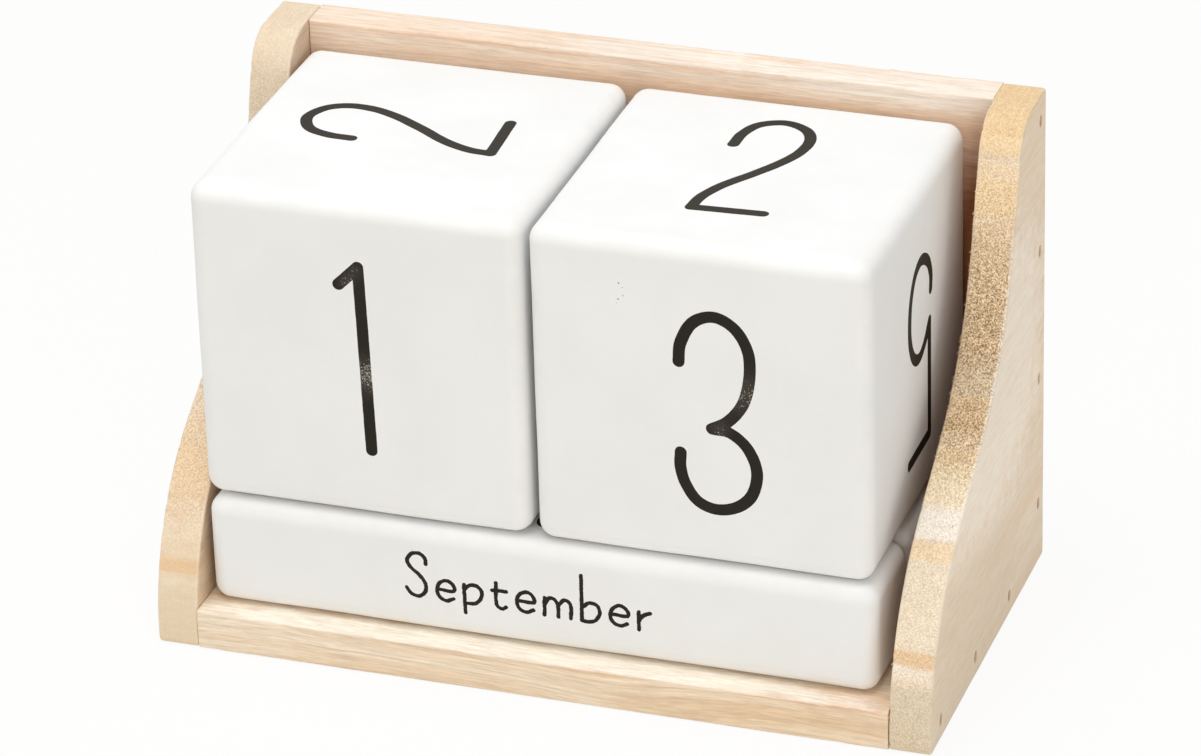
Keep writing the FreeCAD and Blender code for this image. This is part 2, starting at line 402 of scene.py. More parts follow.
@dataclass(frozen=True)
class Effects:
    """The shader node groups that the finishes share."""

    wood_rings: Tree = field(default_factory=wood_rings_group)
    grain_band: Tree = field(default_factory=grain_band_group)
    soft_patch: Tree = field(default_factory=soft_patch_group)
    wood_fibre: Tree = field(default_factory=wood_fibre_group)
    arris_wear_and_highlight: Tree = field(default_factory=arris_wear_and_highlight_group)
    handling: Tree = field(default_factory=handling_group)


def start_material(name: str) -> tuple[Material, Recipe, Node, Socket]:
    """Starts a material with a Principled shader.

    Args:
        name: the material's name.

    Returns:
        The material, its recipe, its Principled node, and the place on the piece in millimetres.
    """
    material = bpy.data.materials.new(name)
    material.use_nodes = True
    material.node_tree.nodes.clear()
    recipe = Recipe(material.node_tree)
    shader = recipe.add("ShaderNodeBsdfPrincipled")
    recipe.add("ShaderNodeOutputMaterial", {"Surface": shader.outputs[0]})
    coordinates = recipe.add("ShaderNodeTexCoord").outputs["Object"]
    return material, recipe, shader, recipe.vector("MULTIPLY", coordinates, (1 / MM, 1 / MM, 1 / MM))


# ---------------------------------------------------------------------------------------------
# Finishes
# ---------------------------------------------------------------------------------------------


class Grain(Enum):
    """Which way a board's grain runs."""

    ALONG_X = "along_x"
    ALONG_Y = "along_y"


@dataclass(frozen=True)
class Band:
    """A band of the wood between two depths, with its own colour and its own soft or crisp borders."""

    low: float
    high: float
    tint: Colour
    strength: float
    low_blur: float = 0.4
    high_blur: float = 0.4


@dataclass(frozen=True)
class Patch:
    """A patch of another colour round a place: stained or bleached wood, and in places painted shade or
    light.
    """

    centre: Triple
    reach: Triple
    tint: Colour
    strength: float
    ragged: float = 0.8


@dataclass(frozen=True)
class BareWood:
    """Sanded pale wood with no finish on it."""

    name: str
    grain: Grain
    shift: Triple = (0.0, 0.0, 0.0)
    ring_tilt: float = 0.0  # degrees that the rings lean, turned about the grain
    ring_pitch: float = 9.0
    ring_warp: float = 9.0
    ring_strength: float = 0.25
    bands: tuple[Band, ...] = ()
    band_on_face: float = 0.45  # how much of a band's strength shows where the grain runs along
    patches: tuple[Patch, ...] = ()
    threads: float = 1.0  # how strongly its long fibres show
    wisps: float = 1.0  # how strongly its short fibres show
    pale: Colour = srgb(242, 226, 204)
    warm: Colour = srgb(237, 215, 186)
    ring: Colour = srgb(230, 198, 160)
    torn: Colour = srgb(206, 176, 134)
    # colour of the pores, and of the painted shade in the pits of torn end grain
    pore_and_pit_shade: Colour = srgb(146, 106, 62)
    # colour of the rounded edges: sanding wear, and partly a painted highlight
    arris: Colour = srgb(246, 234, 216)
    stain: Colour = srgb(160, 118, 82)
    relief: float = 0.08
    specular: float = 0.25

    def material(self, effects: Effects) -> Material:
        """Makes the finish's material from the shared effects."""
        material, recipe, shader, place = start_material(self.name)
        turn = -math.pi / 2 if self.grain is Grain.ALONG_Y else 0.0
        along = recipe.add("ShaderNodeMapping", {"Vector": place, "Rotation": (0.0, 0.0, turn)}).outputs[0]
        lean = {"Vector": along, "Rotation": (math.radians(self.ring_tilt), 0.0, 0.0), "Location": self.shift}
        board = recipe.add("ShaderNodeMapping", lean).outputs[0]
        facing = recipe.add("ShaderNodeTexCoord").outputs["Normal"]
        axes = recipe.add("ShaderNodeSeparateXYZ", {0: facing})
        across = axes.outputs["Y" if self.grain is Grain.ALONG_Y else "X"]
        end_grain = recipe.ramp(recipe.math("ABSOLUTE", across), 0.1, 0.6)
        rings = {
            "Position": board, "Ring Pitch": self.ring_pitch, "Ring Warp": self.ring_warp,
            "Ring Strength": self.ring_strength, "Pale": self.pale, "Warm": self.warm, "Ring": self.ring,
        }
        wood = recipe.group(effects.wood_rings, rings)
        colour = wood["Color"]
        fur = recipe.mask(FUR)
        sawn = recipe.math("MAXIMUM", end_grain, recipe.ramp(fur, 0.0, 0.02))
        shown = recipe.ramp(sawn, 0.0, 1.0, self.band_on_face, 1.0)
        for band in self.bands:
            laid = {
                "Color": colour, "Depth": wood["Depth"], "Low": band.low, "High": band.high,
                "Low Blur": band.low_blur, "High Blur": band.high_blur, "Tint": band.tint,
                "Strength": recipe.times(shown, band.strength),
            }
            colour = recipe.group(effects.grain_band, laid)["Color"]
        for patch in self.patches:
            laid = {
                "Position": place, "Color": colour, "Centre": patch.centre, "Reach": patch.reach,
                "Ragged": patch.ragged, "Tint": patch.tint, "Strength": patch.strength,
            }
            colour = recipe.group(effects.soft_patch, laid)["Color"]
        fibres = {
            "Position": wood["Bent"], "Color": colour, "End Grain": end_grain, "Fur": fur,
            "Threads": self.threads, "Wisps": self.wisps, "Torn": self.torn, "Pore And Pit Shade": self.pore_and_pit_shade,
        }
        skin = recipe.group(effects.wood_fibre, fibres)
        edge_wear_and_highlight = recipe.group(effects.arris_wear_and_highlight, {"Position": place, "Lump Size": 1.2, "Amount": 0.3})
        soil = recipe.group(effects.handling, {"Position": place, "Amount": 0.05})
        punched = recipe.mask(PUNCHED)
        # Rounded edges turn paler: sanding wear, and partly a painted highlight where the rounding catches
        # the light
        colour = recipe.blend(edge_wear_and_highlight["Mask"], skin["Color"], self.arris)
        colour = recipe.blend(recipe.times(punched, 0.45), colour, self.stain)
        colour = recipe.blend(soil["Mask"], colour, self.stain)
        shader.inputs["Specular IOR Level"].default_value = self.specular
        normal = recipe.bump(skin["Height"], self.relief)
        recipe.feed(shader.inputs, {"Base Color": colour, "Roughness": skin["Roughness"], "Normal": normal})
        return material


@dataclass(frozen=True)
class WhitePaint:
    """Satin white paint over sanded wood."""

    name: str = "white_paint_satin"
    paint: Colour = srgb(239, 240, 240)
    # colour of the rounded edges: paint worn thin, and partly a painted highlight
    thin: Colour = srgb(245, 244, 242)
    soil: Colour = srgb(208, 200, 186)
    peel: float = 0.03
    specular: float = 0.35

    def material(self, effects: Effects) -> Material:
        """Makes the finish's material from the shared effects."""
        material, recipe, shader, place = start_material(self.name)
        edge_wear_and_highlight = recipe.group(effects.arris_wear_and_highlight, {"Position": place, "Lump Size": 5.0, "Amount": 0.7})
        handling = recipe.group(effects.handling, {"Position": place, "Amount": 0.06})
        blotch = recipe.noise(place, (17, 14, 21), 3.0, 0.55)
        peel = recipe.noise(place, (0.9, 0.9, 0.9), 3.0, 0.6)
        swell = recipe.noise(place, (7, 7, 7), 2.0)
        spread = recipe.vector("MULTIPLY", place, (0.28, 0.28, 0.28))
        nibs = recipe.add("ShaderNodeTexVoronoi", {"Vector": spread, "Scale": 1.0})
        nib = recipe.ramp(nibs.outputs["Distance"], 0.03, 0.07, 1.0, 0.0)
        # Rounded edges turn paler: paint worn thin, and partly a painted highlight on the rounding
        colour = recipe.blend(edge_wear_and_highlight["Mask"], self.paint, self.thin)
        colour = recipe.blend(handling["Mask"], colour, self.soil)
        colour = recipe.blend(recipe.ramp(blotch, 0.36, 0.68, 0.0, 0.07), colour, self.soil)
        gloss = recipe.ramp(handling["Sheen"], 0.0, 1.0, 0.58, 0.5)
        height = recipe.plus(recipe.plus(recipe.times(peel, 0.7), recipe.times(swell, 1.6)), nib)
        shader.inputs["Specular IOR Level"].default_value = self.specular
        normal = recipe.bump(height, self.peel)
        recipe.feed(shader.inputs, {"Base Color": colour, "Roughness": gloss, "Normal": normal})
        return material


@dataclass(frozen=True)
class BlackPrint:
    """Charcoal black ink, printed on the paint."""

    name: str = "black_print_ink"
    ink: Colour = srgb(34, 29, 20)
    faded: Colour = srgb(50, 46, 40)
    rubbed: Colour = srgb(96, 91, 82)
    bared: Colour = srgb(200, 197, 190)
    grit: float = 0.015
    specular: float = 0.16

    def material(self, effects: Effects) -> Material:
        """Makes the finish's material from the shared effects."""
        material, recipe, shader, place = start_material(self.name)
        handling = recipe.group(effects.handling, {"Position": place, "Amount": 1.0})
        solid = recipe.mask(INK)
        grit = recipe.noise(place, (0.3, 0.3, 0.3), 3.0, 0.65)
        bared = recipe.ramp(recipe.minus(grit, recipe.ramp(solid, 0.0, 1.0, 0.0, 0.4)), 0.38, 0.48)
        colour = recipe.blend(recipe.times(handling["Mask"], 0.5), self.ink, self.faded)
        colour = recipe.blend(recipe.ramp(grit, 0.45, 0.8, 0.0, 0.35), colour, self.faded)
        # Thin ink shows rubbed and bared colours: wear, and on the top faces a painted reflection
        rubbed = recipe.times(recipe.ramp(solid, 0.25, 0.95, 0.8, 0.0), grit)
        colour = recipe.blend(rubbed, colour, self.rubbed)
        colour = recipe.blend(recipe.times(bared, 0.75), colour, self.bared)
        gloss = recipe.ramp(grit, 0.2, 0.8, 0.5, 0.62)
        shader.inputs["Specular IOR Level"].default_value = self.specular
        normal = recipe.bump(grit, self.grit)
        recipe.feed(shader.inputs, {"Base Color": colour, "Roughness": gloss, "Normal": normal})
        return material


@dataclass(frozen=True)
class BradSteel:
    """Dull bright steel of wire brads."""

    name: str = "brad_steel_dull"
    steel: Colour = srgb(196, 188, 176)
    rust: Colour = srgb(160, 122, 88)
    scale_height: float = 0.03

    def material(self, effects: Effects) -> Material:
        """Makes the finish's material from the shared effects."""
        material, recipe, shader, place = start_material(self.name)
        handling = recipe.group(effects.handling, {"Position": place, "Amount": 1.0})
        scale = recipe.noise(place, (0.35, 0.35, 0.35), 4.0, 0.7)
        rust = recipe.math("MAXIMUM", recipe.ramp(scale, 0.45, 0.65), handling["Mask"])
        skin = {
            "Base Color": recipe.blend(rust, self.steel, self.rust),
            "Metallic": recipe.ramp(rust, 0.0, 1.0, 0.85, 0.1),
            "Roughness": recipe.ramp(rust, 0.0, 1.0, 0.38, 0.8),
            "Normal": recipe.bump(scale, self.scale_height),
        }
        recipe.feed(shader.inputs, skin)
        return material


# ---------------------------------------------------------------------------------------------
# Mesh tools
# ---------------------------------------------------------------------------------------------


class Shape:
    """One piece's mesh while it is made, in millimetres."""

    def __init__(self) -> None:
        """Starts an empty mesh with its masks."""
        self.mesh = bmesh.new()
        layers = self.mesh.verts.layers.float
        self.masks = {name: layers.new(name) for name in (ARRIS, PUNCHED, INK, FUR)}

    def point(self, place: Sequence[float], **masks: float) -> Vertex:
        """Adds a point, with the values of its masks."""
        vertex = self.mesh.verts.new(place)
        for name, value in masks.items():
            vertex[self.masks[name]] = value
        return vertex

    def face(self, corners: Sequence[Vertex]) -> None:
        """Adds a face, smooth by default."""
        self.mesh.faces.new(corners).smooth = True

    def bridge(self, first: Sequence, second: Sequence, closed: bool = True) -> None:
        """Joins two rows of points, as many in each, by a band of faces."""
        count = len(first)
        for index in range(count if closed else count - 1):
            after = (index + 1) % count
            self.face((first[index], first[after], second[after], second[index]))

    def fill(self, loops: Sequence[Sequence], normal: Vector) -> None:
        """Closes a flat region: the first loop is its outline and the others are holes in it."""
        edges = []
        for loop in loops:
            for index, vertex in enumerate(loop):
                ends = (vertex, loop[(index + 1) % len(loop)])
                edges.append(self.mesh.edges.get(ends) or self.mesh.edges.new(ends))
        made = bmesh.ops.triangle_fill(self.mesh, use_beauty=True, edges=edges, normal=normal)
        for part in made["geom"]:
            if isinstance(part, bmesh.types.BMFace):
                part.smooth = True

    def finish(self, name: str, body: str, slot: str, material: Material, *nodes: str) -> Piece:
        """Turns the mesh into a piece of the model.

        Args:
            name: the piece's name.
            body: the body that it rides on.
            slot: the record's material slot; not used.
            material: the piece's material.
            *nodes: the CAD nodes that it stands for.

        Returns:
            The piece.
        """
        bmesh.ops.dissolve_degenerate(self.mesh, dist=WELD, edges=self.mesh.edges)
        bmesh.ops.recalc_face_normals(self.mesh, faces=self.mesh.faces)
        bmesh.ops.scale(self.mesh, vec=(MM, MM, MM), verts=self.mesh.verts)
        data = bpy.data.meshes.new(name)
        self.mesh.to_mesh(data)
        self.mesh.free()
        data.set_sharp_from_angle(angle=math.radians(SHARP_ANGLE))
        data.materials.append(material)
        piece = bpy.data.objects.new(name, data)
        bpy.context.scene.collection.objects.link(piece)
        weigh = piece.modifiers.new("even_shading", "WEIGHTED_NORMAL")
        weigh.keep_sharp = True
        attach(piece, body)
        if nodes:
            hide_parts(*nodes)
        LOG.info("%s: %d faces, rides on %s", name, len(data.polygons), body)
        return piece


def stations(length: float, pitch: float) -> list[float]:
    """Gives evenly spaced places from 0 to length, about pitch apart."""
    count = max(1, round(length / pitch))
    return [length * index / count for index in range(count + 1)]


@dataclass(frozen=True)
class Nick:
    """A small spot where an edge is torn or dented deeper."""

    place: float
    width: float
    depth: float

    def at(self, place: float) -> float:
        """Gives how much deeper the edge is at a place along it."""
        return self.depth * math.exp(-(((place - self.place) / self.width) ** 2))


NICK_WIDTHS = (0.25, 0.9)  # the least and the most


def scatter_nicks(seed: int, length: float, count: int, depth: float) -> list[Nick]:
    """Scatters nicks along an edge, always the same for one seed."""
    dice = random.Random(seed)
    return [
        Nick(dice.uniform(0.0, length), dice.uniform(*NICK_WIDTHS), dice.uniform(0.3, 1.0) * depth)
        for _ in range(count)
    ]


# ---------------------------------------------------------------------------------------------
# Brads
# ---------------------------------------------------------------------------------------------


@dataclass(frozen=True)
class BradHole:
    """The hole of a driven brad: a torn mark, the punch's slot, a head seat and the shank's channel."""

    place: Vector
    inward: Vector
    wide_way: Vector
    head: Point = (1.9, 1.25)
    shank: Point = (1.25, 1.0)
    sink: float = 0.4
    head_thickness: float = 0.8
    brad_length: float = 18.0
    tear: float = 0.5
    corners: int = 20

    def loop(self, shape: Shape, size: Point, depth: float, boxy: float, punched: float = 1.0) -> list:
        """Adds one closed row of points round the hole.

        Args:
            shape: the board.
            size: full width and thickness of the loop.
            depth: how deep it lies.
            boxy: 1 for an ellipse, and less for squarer corners.
            punched: the punch mark's mask there.

        Returns:
            The points.
        """
        thin_way = self.inward.cross(self.wide_way)
        made = []
        for index in range(self.corners):
            angle = 2 * math.pi * index / self.corners
            wide = math.copysign(abs(math.cos(angle)) ** boxy, math.cos(angle)) * size[0] / 2
            thin = math.copysign(abs(math.sin(angle)) ** boxy, math.sin(angle)) * size[1] / 2
            spot = self.place + self.wide_way * wide + thin_way * thin
            ragged = 1 + 0.12 * noise.noise(spot * 1.9) * boxy
            spot = self.place + (spot - self.place) * ragged + self.inward * depth
            made.append(shape.point(spot, punched=punched))
        return made

    def enter(self, shape: Shape, thickness: float) -> tuple[list, list]:
        """Makes the hole where the brad goes in, right through a board.

        Args:
            shape: the board.
            thickness: how thick the board is.

        Returns:
            The loop in the near face and the loop in the far face.
        """
        torn = (self.head[0] + 2 * self.tear, self.head[1] + 2 * self.tear)
        seat = self.sink + self.head_thickness
        rim = self.loop(shape, torn, 0.0, 1.0, 0.0)
        rows = [
            rim,
            self.loop(shape, (torn[0] * 0.8, torn[1] * 0.75), 0.03, 0.9, 0.35),
            self.loop(shape, (self.head[0] * 1.08, self.head[1] * 1.1), 0.14, 0.6),
            self.loop(shape, self.head, self.sink, 0.35),
            self.loop(shape, self.head, seat, 0.35),
            self.loop(shape, self.shank, seat, 0.35),
            self.loop(shape, self.shank, thickness, 0.35, 0.0),
        ]
        for first, second in zip(rows, rows[1:]):
            shape.bridge(first, second)
        return rows[0], rows[-1]

    def receive(self, shape: Shape, gone: float) -> list:
        """Makes the channel for the rest of the brad in the board behind.

        Args:
            shape: the board behind.
            gone: how much of the depth the board in front took.

        Returns:
            The loop in the face that the brad comes in by.
        """
        mouth = self.loop(shape, self.shank, gone, 0.35, 0.0)
        end = self.loop(shape, self.shank, self.sink + self.brad_length, 0.35, 0.0)
        shape.bridge(mouth, end)
        shape.face(end)
        return mouth


def brad_holes(node: str, axis: int, inward: Vector, wide_way: Vector, count: int) -> list[BradHole]:
    """Finds the holes of one row of brads from the row's CAD node.

    Args:
        node: the row's CAD node.
        axis: the axis that the row runs along: 0, 1 or 2.
        inward: the way the brads were driven.
        wide_way: the way a head is wider.
        count: how many brads the row has.

    Returns:
        The holes, each placed on the surface that its brad was driven into.
    """
    low, high = box_mm(node)
    depth_axis = max(range(3), key=lambda index: abs(inward[index]))
    sink = BradHole.sink
    outer = low[depth_axis] - sink if inward[depth_axis] > 0 else high[depth_axis] + sink
    head = BradHole.head[0] if abs(wide_way[axis]) > 0.5 else BradHole.head[1]
    holes = []
    for share in stations(1.0, 1.0 / (count - 1)):
        place = (low + high) / 2
        place[axis] = low[axis] + head / 2 + share * (high[axis] - low[axis] - head)
        place[depth_axis] = outer
        holes.append(BradHole(place, inward, wide_way))
    return holes


LEFTWARD, RIGHTWARD = Vector((-1, 0, 0)), Vector((1, 0, 0))
FORWARD, REARWARD = Vector((0, -1, 0)), Vector((0, 1, 0))
DOWNWARD, UPWARD = Vector((0, 0, -1)), Vector((0, 0, 1))


@dataclass
class BradRows:
    """Every row of brads in the stand."""

    back_count: int = 4
    base_count: int = 3
    rear_count: int = 3

    def holes(self, row: str) -> list[BradHole]:
        """Gives the holes of one row.

        Args:
            row: left_back, right_back, left_base, right_base or rear_base.

        Returns:
            The row's holes.
        """
        if row == "rear_base":
            return brad_holes("rear_base_brads", 0, FORWARD, RIGHTWARD, self.rear_count)
        side, board = row.split("_")
        inward = RIGHTWARD if side == "left" else LEFTWARD
        axis, count = (2, self.back_count) if board == "back" else (1, self.base_count)
        return brad_holes(row + "_brads", axis, inward, UPWARD, count)

    def dress(self, material: Material) -> None:
        """Gives the brads their steel."""
        for node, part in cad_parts.items():
            if node.endswith("_brads"):
                part.data.materials.clear()
                part.data.materials.append(material)
                LOG.info("%s: dressed in %s", node, material.name)


# ---------------------------------------------------------------------------------------------
# The stand
# ---------------------------------------------------------------------------------------------


@dataclass(frozen=True)
class RimSpot:
    """One place on a side panel's outline: where it is, how the edge slopes there, and how it was cut."""

    y: float
    z: float
    slope: float
    travelled: float
    sawn: bool


class OutlineWalk:
    """Walks round a side panel's outline. Slopes are in degrees below the horizontal, going forward."""

    def __init__(self, y: float, z: float) -> None:
        """Starts at a place, heading forward."""
        self.y, self.z, self.slope, self.travelled = y, z, 0.0, 0.0
        self.spots: list[RimSpot] = []

    def mark(self, sawn: bool) -> None:
        """Keeps the present place."""
        self.spots.append(RimSpot(self.y, self.z, self.slope, self.travelled, sawn))

    def run(self, length: float, pitch: float, sawn: bool = False) -> None:
        """Goes straight on, and marks places on the way."""
        start_y, start_z, start = self.y, self.z, self.travelled
        slope = math.radians(self.slope)
        for step in stations(length, pitch)[:-1]:
            self.y = start_y - math.cos(slope) * step
            self.z = start_z - math.sin(slope) * step
            self.travelled = start + step
            self.mark(sawn)
        self.y = start_y - math.cos(slope) * length
        self.z = start_z - math.sin(slope) * length
        self.travelled = start + length

    def turn(self, radius: float, slope_out: float, pitch: float, sawn: bool = False) -> None:
        """Goes round an arc until the edge slopes by slope_out, and marks places on the way."""
        sense = 1 if slope_out > self.slope else -1
        first = math.radians(self.slope)
        last = math.radians(slope_out)
        centre_y = self.y + sense * radius * math.sin(first)
        centre_z = self.z - sense * radius * math.cos(first)
        start = self.travelled
        for step in stations(radius * abs(last - first), pitch):
            angle = first + sense * step / radius
            self.y = centre_y - sense * radius * math.sin(angle)
            self.z = centre_z + sense * radius * math.cos(angle)
            self.slope = math.degrees(angle)
            self.travelled = start + step
            if angle != last:
                self.mark(sawn)
        self.slope = slope_out


@dataclass
class SidePanel:
    """A side board with an S-curved front edge, sawn across the grain and left a little furry."""

    side: str
    wood: BareWood
    torn: tuple[Point, ...]  # how torn the sawn edge is, by how far along it
    top_land: float = 2.0
    shoulder_radius: float = 8.5
    neck_slope: float = 73.0
    waist_radius: float = 45.0
    belly_slope: float = 32.0
    nose_radius: float = 39.0
    nose_height: float = 2.0
    corner_radius: float = 0.9
    arris_radius: float = 0.5
    arris_steps: int = 4
    widest_arris: float = 0.85
    nicks: int = 16
    nick_depth: float = 0.5
    fine_pitch: float = 0.38
    coarse_pitch: float = 3.0
    tuft: float = 0.11
    splinters: int = 260
    splinter_start: float = 12.0  # how far along the edge the first ones may stand
    splinter_inset: float = 0.25  # how far in from the face one is rooted
    splinter_sink: float = 0.42  # how deep under the edge one is rooted
    splinter_root: float = 0.25  # the part of its length that stays in the wood
    splinter_length: Point = (0.1, 0.42)  # the rest, at least and at most
    splinter_girth: float = 0.075
    splinter_room: float = 0.3  # how far behind the stand's front its tip stays
    seed: int = 1

    def outline(self) -> list[RimSpot]:
        """Walks the outline, from the rear end of the top edge and round by the front."""
        low, high = box_mm(self.side + "_side_panel")
        back_thickness = high.y - box_mm("back_panel")[0].y
        neck = math.radians(self.neck_slope)
        belly = math.radians(self.belly_slope)
        forward = high.y - low.y - back_thickness - self.top_land
        forward -= (self.shoulder_radius + self.waist_radius) * math.sin(neck)
        forward -= self.nose_radius - (self.nose_radius + self.waist_radius) * math.sin(belly)
        down = high.z - self.nose_height - self.shoulder_radius
        down += (self.shoulder_radius + self.waist_radius) * math.cos(neck)
        down -= (self.nose_radius + self.waist_radius) * math.cos(belly)
        between = math.sin(neck - belly)
        neck_length = (down * math.cos(belly) - forward * math.sin(belly)) / between
        belly_length = (forward * math.sin(neck) - down * math.cos(neck)) / between
        corner = self.corner_radius
        foot = (self.nose_height - corner) / (self.nose_radius - corner)
        corner_pitch = corner / 4
        walk = OutlineWalk(high.y - corner, high.z)
        walk.run(back_thickness + self.top_land - corner, self.fine_pitch, sawn=True)
        walk.turn(self.shoulder_radius, self.neck_slope, self.fine_pitch, sawn=True)
        walk.run(neck_length, self.fine_pitch, sawn=True)
        walk.turn(self.waist_radius, self.belly_slope, self.fine_pitch, sawn=True)
        walk.run(belly_length, self.fine_pitch, sawn=True)
        walk.turn(self.nose_radius, 90 + math.degrees(math.asin(foot)), self.fine_pitch, sawn=True)
        walk.turn(corner, 180.0, corner_pitch)
        walk.run(high.y - corner - walk.y, self.coarse_pitch)
        walk.turn(corner, 270.0, corner_pitch)
        walk.run(high.z - low.z - 2 * corner, self.coarse_pitch)
        walk.turn(corner, 360.0, corner_pitch)
        return walk.spots

    def rounding(self, radius: float) -> list[Triple]:
        """Gives a rounded arris: how far along the edge, how far in, and the arris mask."""
        angles = [math.pi / 2 * index / self.arris_steps for index in range(self.arris_steps + 1)]
        return [
            (radius * (1 - math.cos(angle)), radius * (1 - math.sin(angle)), abs(math.sin(2 * angle)) ** 0.5)
            for angle in angles
        ]

    def cross_section(self, thickness: float, radius: float, far_radius: float) -> list[Triple]:
        """Gives the stations across the edge: how far along it, how far in, and the arris mask."""
        near = self.rounding(min(radius, self.widest_arris))
        far = [
            (thickness - along, inset, arris)
            for along, inset, arris in reversed(self.rounding(min(far_radius, self.widest_arris)))
        ]
        start, end = near[-1][0], far[0][0]
        count = round((thickness - 2 * self.arris_radius) / self.fine_pitch)
        between = [(start + (end - start) * index / count, 0.0, 0.0) for index in range(1, count)]
        return near + between + far

    def fur(self, spot: RimSpot) -> float:
        """Gives how torn the edge is at a place, from 0 to 1."""
        if not spot.sawn:
            return 0.0
        return float(np.interp(spot.travelled, *zip(*self.torn)))

    def relief(self, x: float, spot: RimSpot) -> float:
        """Gives how deep the sawn edge lies below its true outline: torn fibres and slow waves."""
        if not spot.sawn:
            return 0.0
        fibres = noise.noise(Vector((x * 1.25, spot.travelled * 1.1, self.seed * 3.0)))
        tufts = noise.noise(Vector((x * 2.3, spot.travelled * 2.0, self.seed * 5.0)))
        waves = noise.noise(Vector((x, spot.travelled, self.seed * 7.0)) * 0.16)
        depth = self.tuft * (0.25 + 0.75 * self.fur(spot))
        return depth * (1.0 + 0.62 * fibres + 0.38 * tufts) + 0.05 * (1.0 + waves)

    def raise_splinters(self, shape: Shape, spots: list[RimSpot], low: Vector, thickness: float) -> None:
        """Adds the fine splinters that the saw left standing along both arrises, most of them where it tore.

        Args:
            shape: the panel.
            spots: its outline.
            low: its lowest corner.
            thickness: how thick it is.
        """
        dice = random.Random(self.seed + 7)
        sawn = [spot for spot in spots if spot.sawn and spot.travelled > self.splinter_start]
        for spot in dice.choices(sawn, k=self.splinters):
            at_far_arris = dice.choice((False, True))
            lean = dice.uniform(-0.7, 0.7)
            length = self.splinter_root + dice.uniform(*self.splinter_length)
            if dice.random() > 0.2 + self.fur(spot):
                continue
            slope = math.radians(spot.slope)
            outward = Vector((0, -math.sin(slope), math.cos(slope)))
            forward = Vector((0, -math.cos(slope), -math.sin(slope)))
            by_the_seat = (self.side == "left") == at_far_arris
            sideways = RIGHTWARD * (0.75 if at_far_arris else -0.75) * (1 if by_the_seat else 0.1)
            inset = thickness - self.splinter_inset if at_far_arris else self.splinter_inset
            root = Vector((low.x + inset, spot.y, spot.z)) - outward * self.splinter_sink
            way = (outward * 0.55 + sideways + forward * lean).normalized()
            if (root + way * length).y < low.y + self.splinter_room:
                continue
            width = way.cross(forward).normalized() * self.splinter_girth
            depth = way.cross(width).normalized() * self.splinter_girth
            rings = []
            for share, girth in ((0.0, 1.3), (0.6, 0.9)):
                heart = root + way * length * share + forward * 0.1 * share
                corners = (width, depth - width * 0.5, -depth - width * 0.5)
                rings.append([shape.point(heart + corner * girth, arris=1.0) for corner in corners])
            tip = shape.point(root + way * length + forward * 0.18, arris=1.0)
            shape.bridge(rings[0], rings[1])
            shape.face(rings[0])
            for index in range(3):
                shape.face((rings[1][index], rings[1][(index + 1) % 3], tip))

    def build(self, effects: Effects, rows: BradRows) -> Piece:
        """Makes the panel.

        Args:
            effects: the shared shader effects.
            rows: the rows of brads, for the holes.

        Returns:
            The piece.
        """
        node = self.side + "_side_panel"
        low, high = box_mm(node)
        thickness = high.x - low.x
        back_thickness = high.y - box_mm("back_panel")[0].y
        spots = self.outline()
        sawn_end = max(spot.travelled for spot in spots if spot.sawn)
        near_nicks = scatter_nicks(self.seed, sawn_end, self.nicks, self.nick_depth)
        far_nicks = scatter_nicks(self.seed + 50, sawn_end, self.nicks, self.nick_depth)
        shape = Shape()
        rows_of_points = []
        for spot in spots:
            sway = 1 + 0.3 * noise.noise(Vector((spot.travelled * 0.13, self.seed, 0)))
            beside_back = 0.2 + 0.8 * smooth_step(back_thickness - 0.8, back_thickness + 1.0, spot.travelled)
            near_share, far_share = (1.0, beside_back) if self.side == "left" else (beside_back, 1.0)
            radius = self.arris_radius * sway * near_share
            far = self.arris_radius * sway * far_share
            if spot.sawn:
                radius += sum(nick.at(spot.travelled) for nick in near_nicks) * near_share
                far += sum(nick.at(spot.travelled) for nick in far_nicks) * far_share
            slope = math.radians(spot.slope)
            row = []
            for across, inset, arris in self.cross_section(thickness, radius, far):
                x = low.x + across
                from_face = min(across, thickness - across)
                depth = inset + self.relief(x, spot) * (0.45 + 0.55 * smooth_step(0.0, 0.7, from_face))
                y = spot.y + depth * math.sin(slope)
                z = spot.z - depth * math.cos(slope)
                fur = self.fur(spot) * (0.3 + 0.7 * smooth_step(0.0, 0.6, from_face))
                row.append(shape.point((x, y, z), arris=arris, fur=fur if from_face > 0.01 else 0.0))
            rows_of_points.append(row)
        for first, second in zip(rows_of_points, rows_of_points[1:] + rows_of_points[:1]):
            shape.bridge(first, second, closed=False)
        self.raise_splinters(shape, spots, low, thickness)
        near_loops = [[row[0] for row in rows_of_points]]
        far_loops = [[row[-1] for row in rows_of_points]]
        for hole in rows.holes(self.side + "_back") + rows.holes(self.side + "_base"):
            entry, exit_loop = hole.enter(shape, thickness)
            outside, inside = (near_loops, far_loops) if self.side == "left" else (far_loops, near_loops)
            outside.append(entry)
            inside.append(exit_loop)
        shape.fill(near_loops, LEFTWARD)
        shape.fill(far_loops, RIGHTWARD)
        material = self.wood.material(effects)
        return shape.finish(self.side + "_side_board", "stand", "bare_wood", material, node)


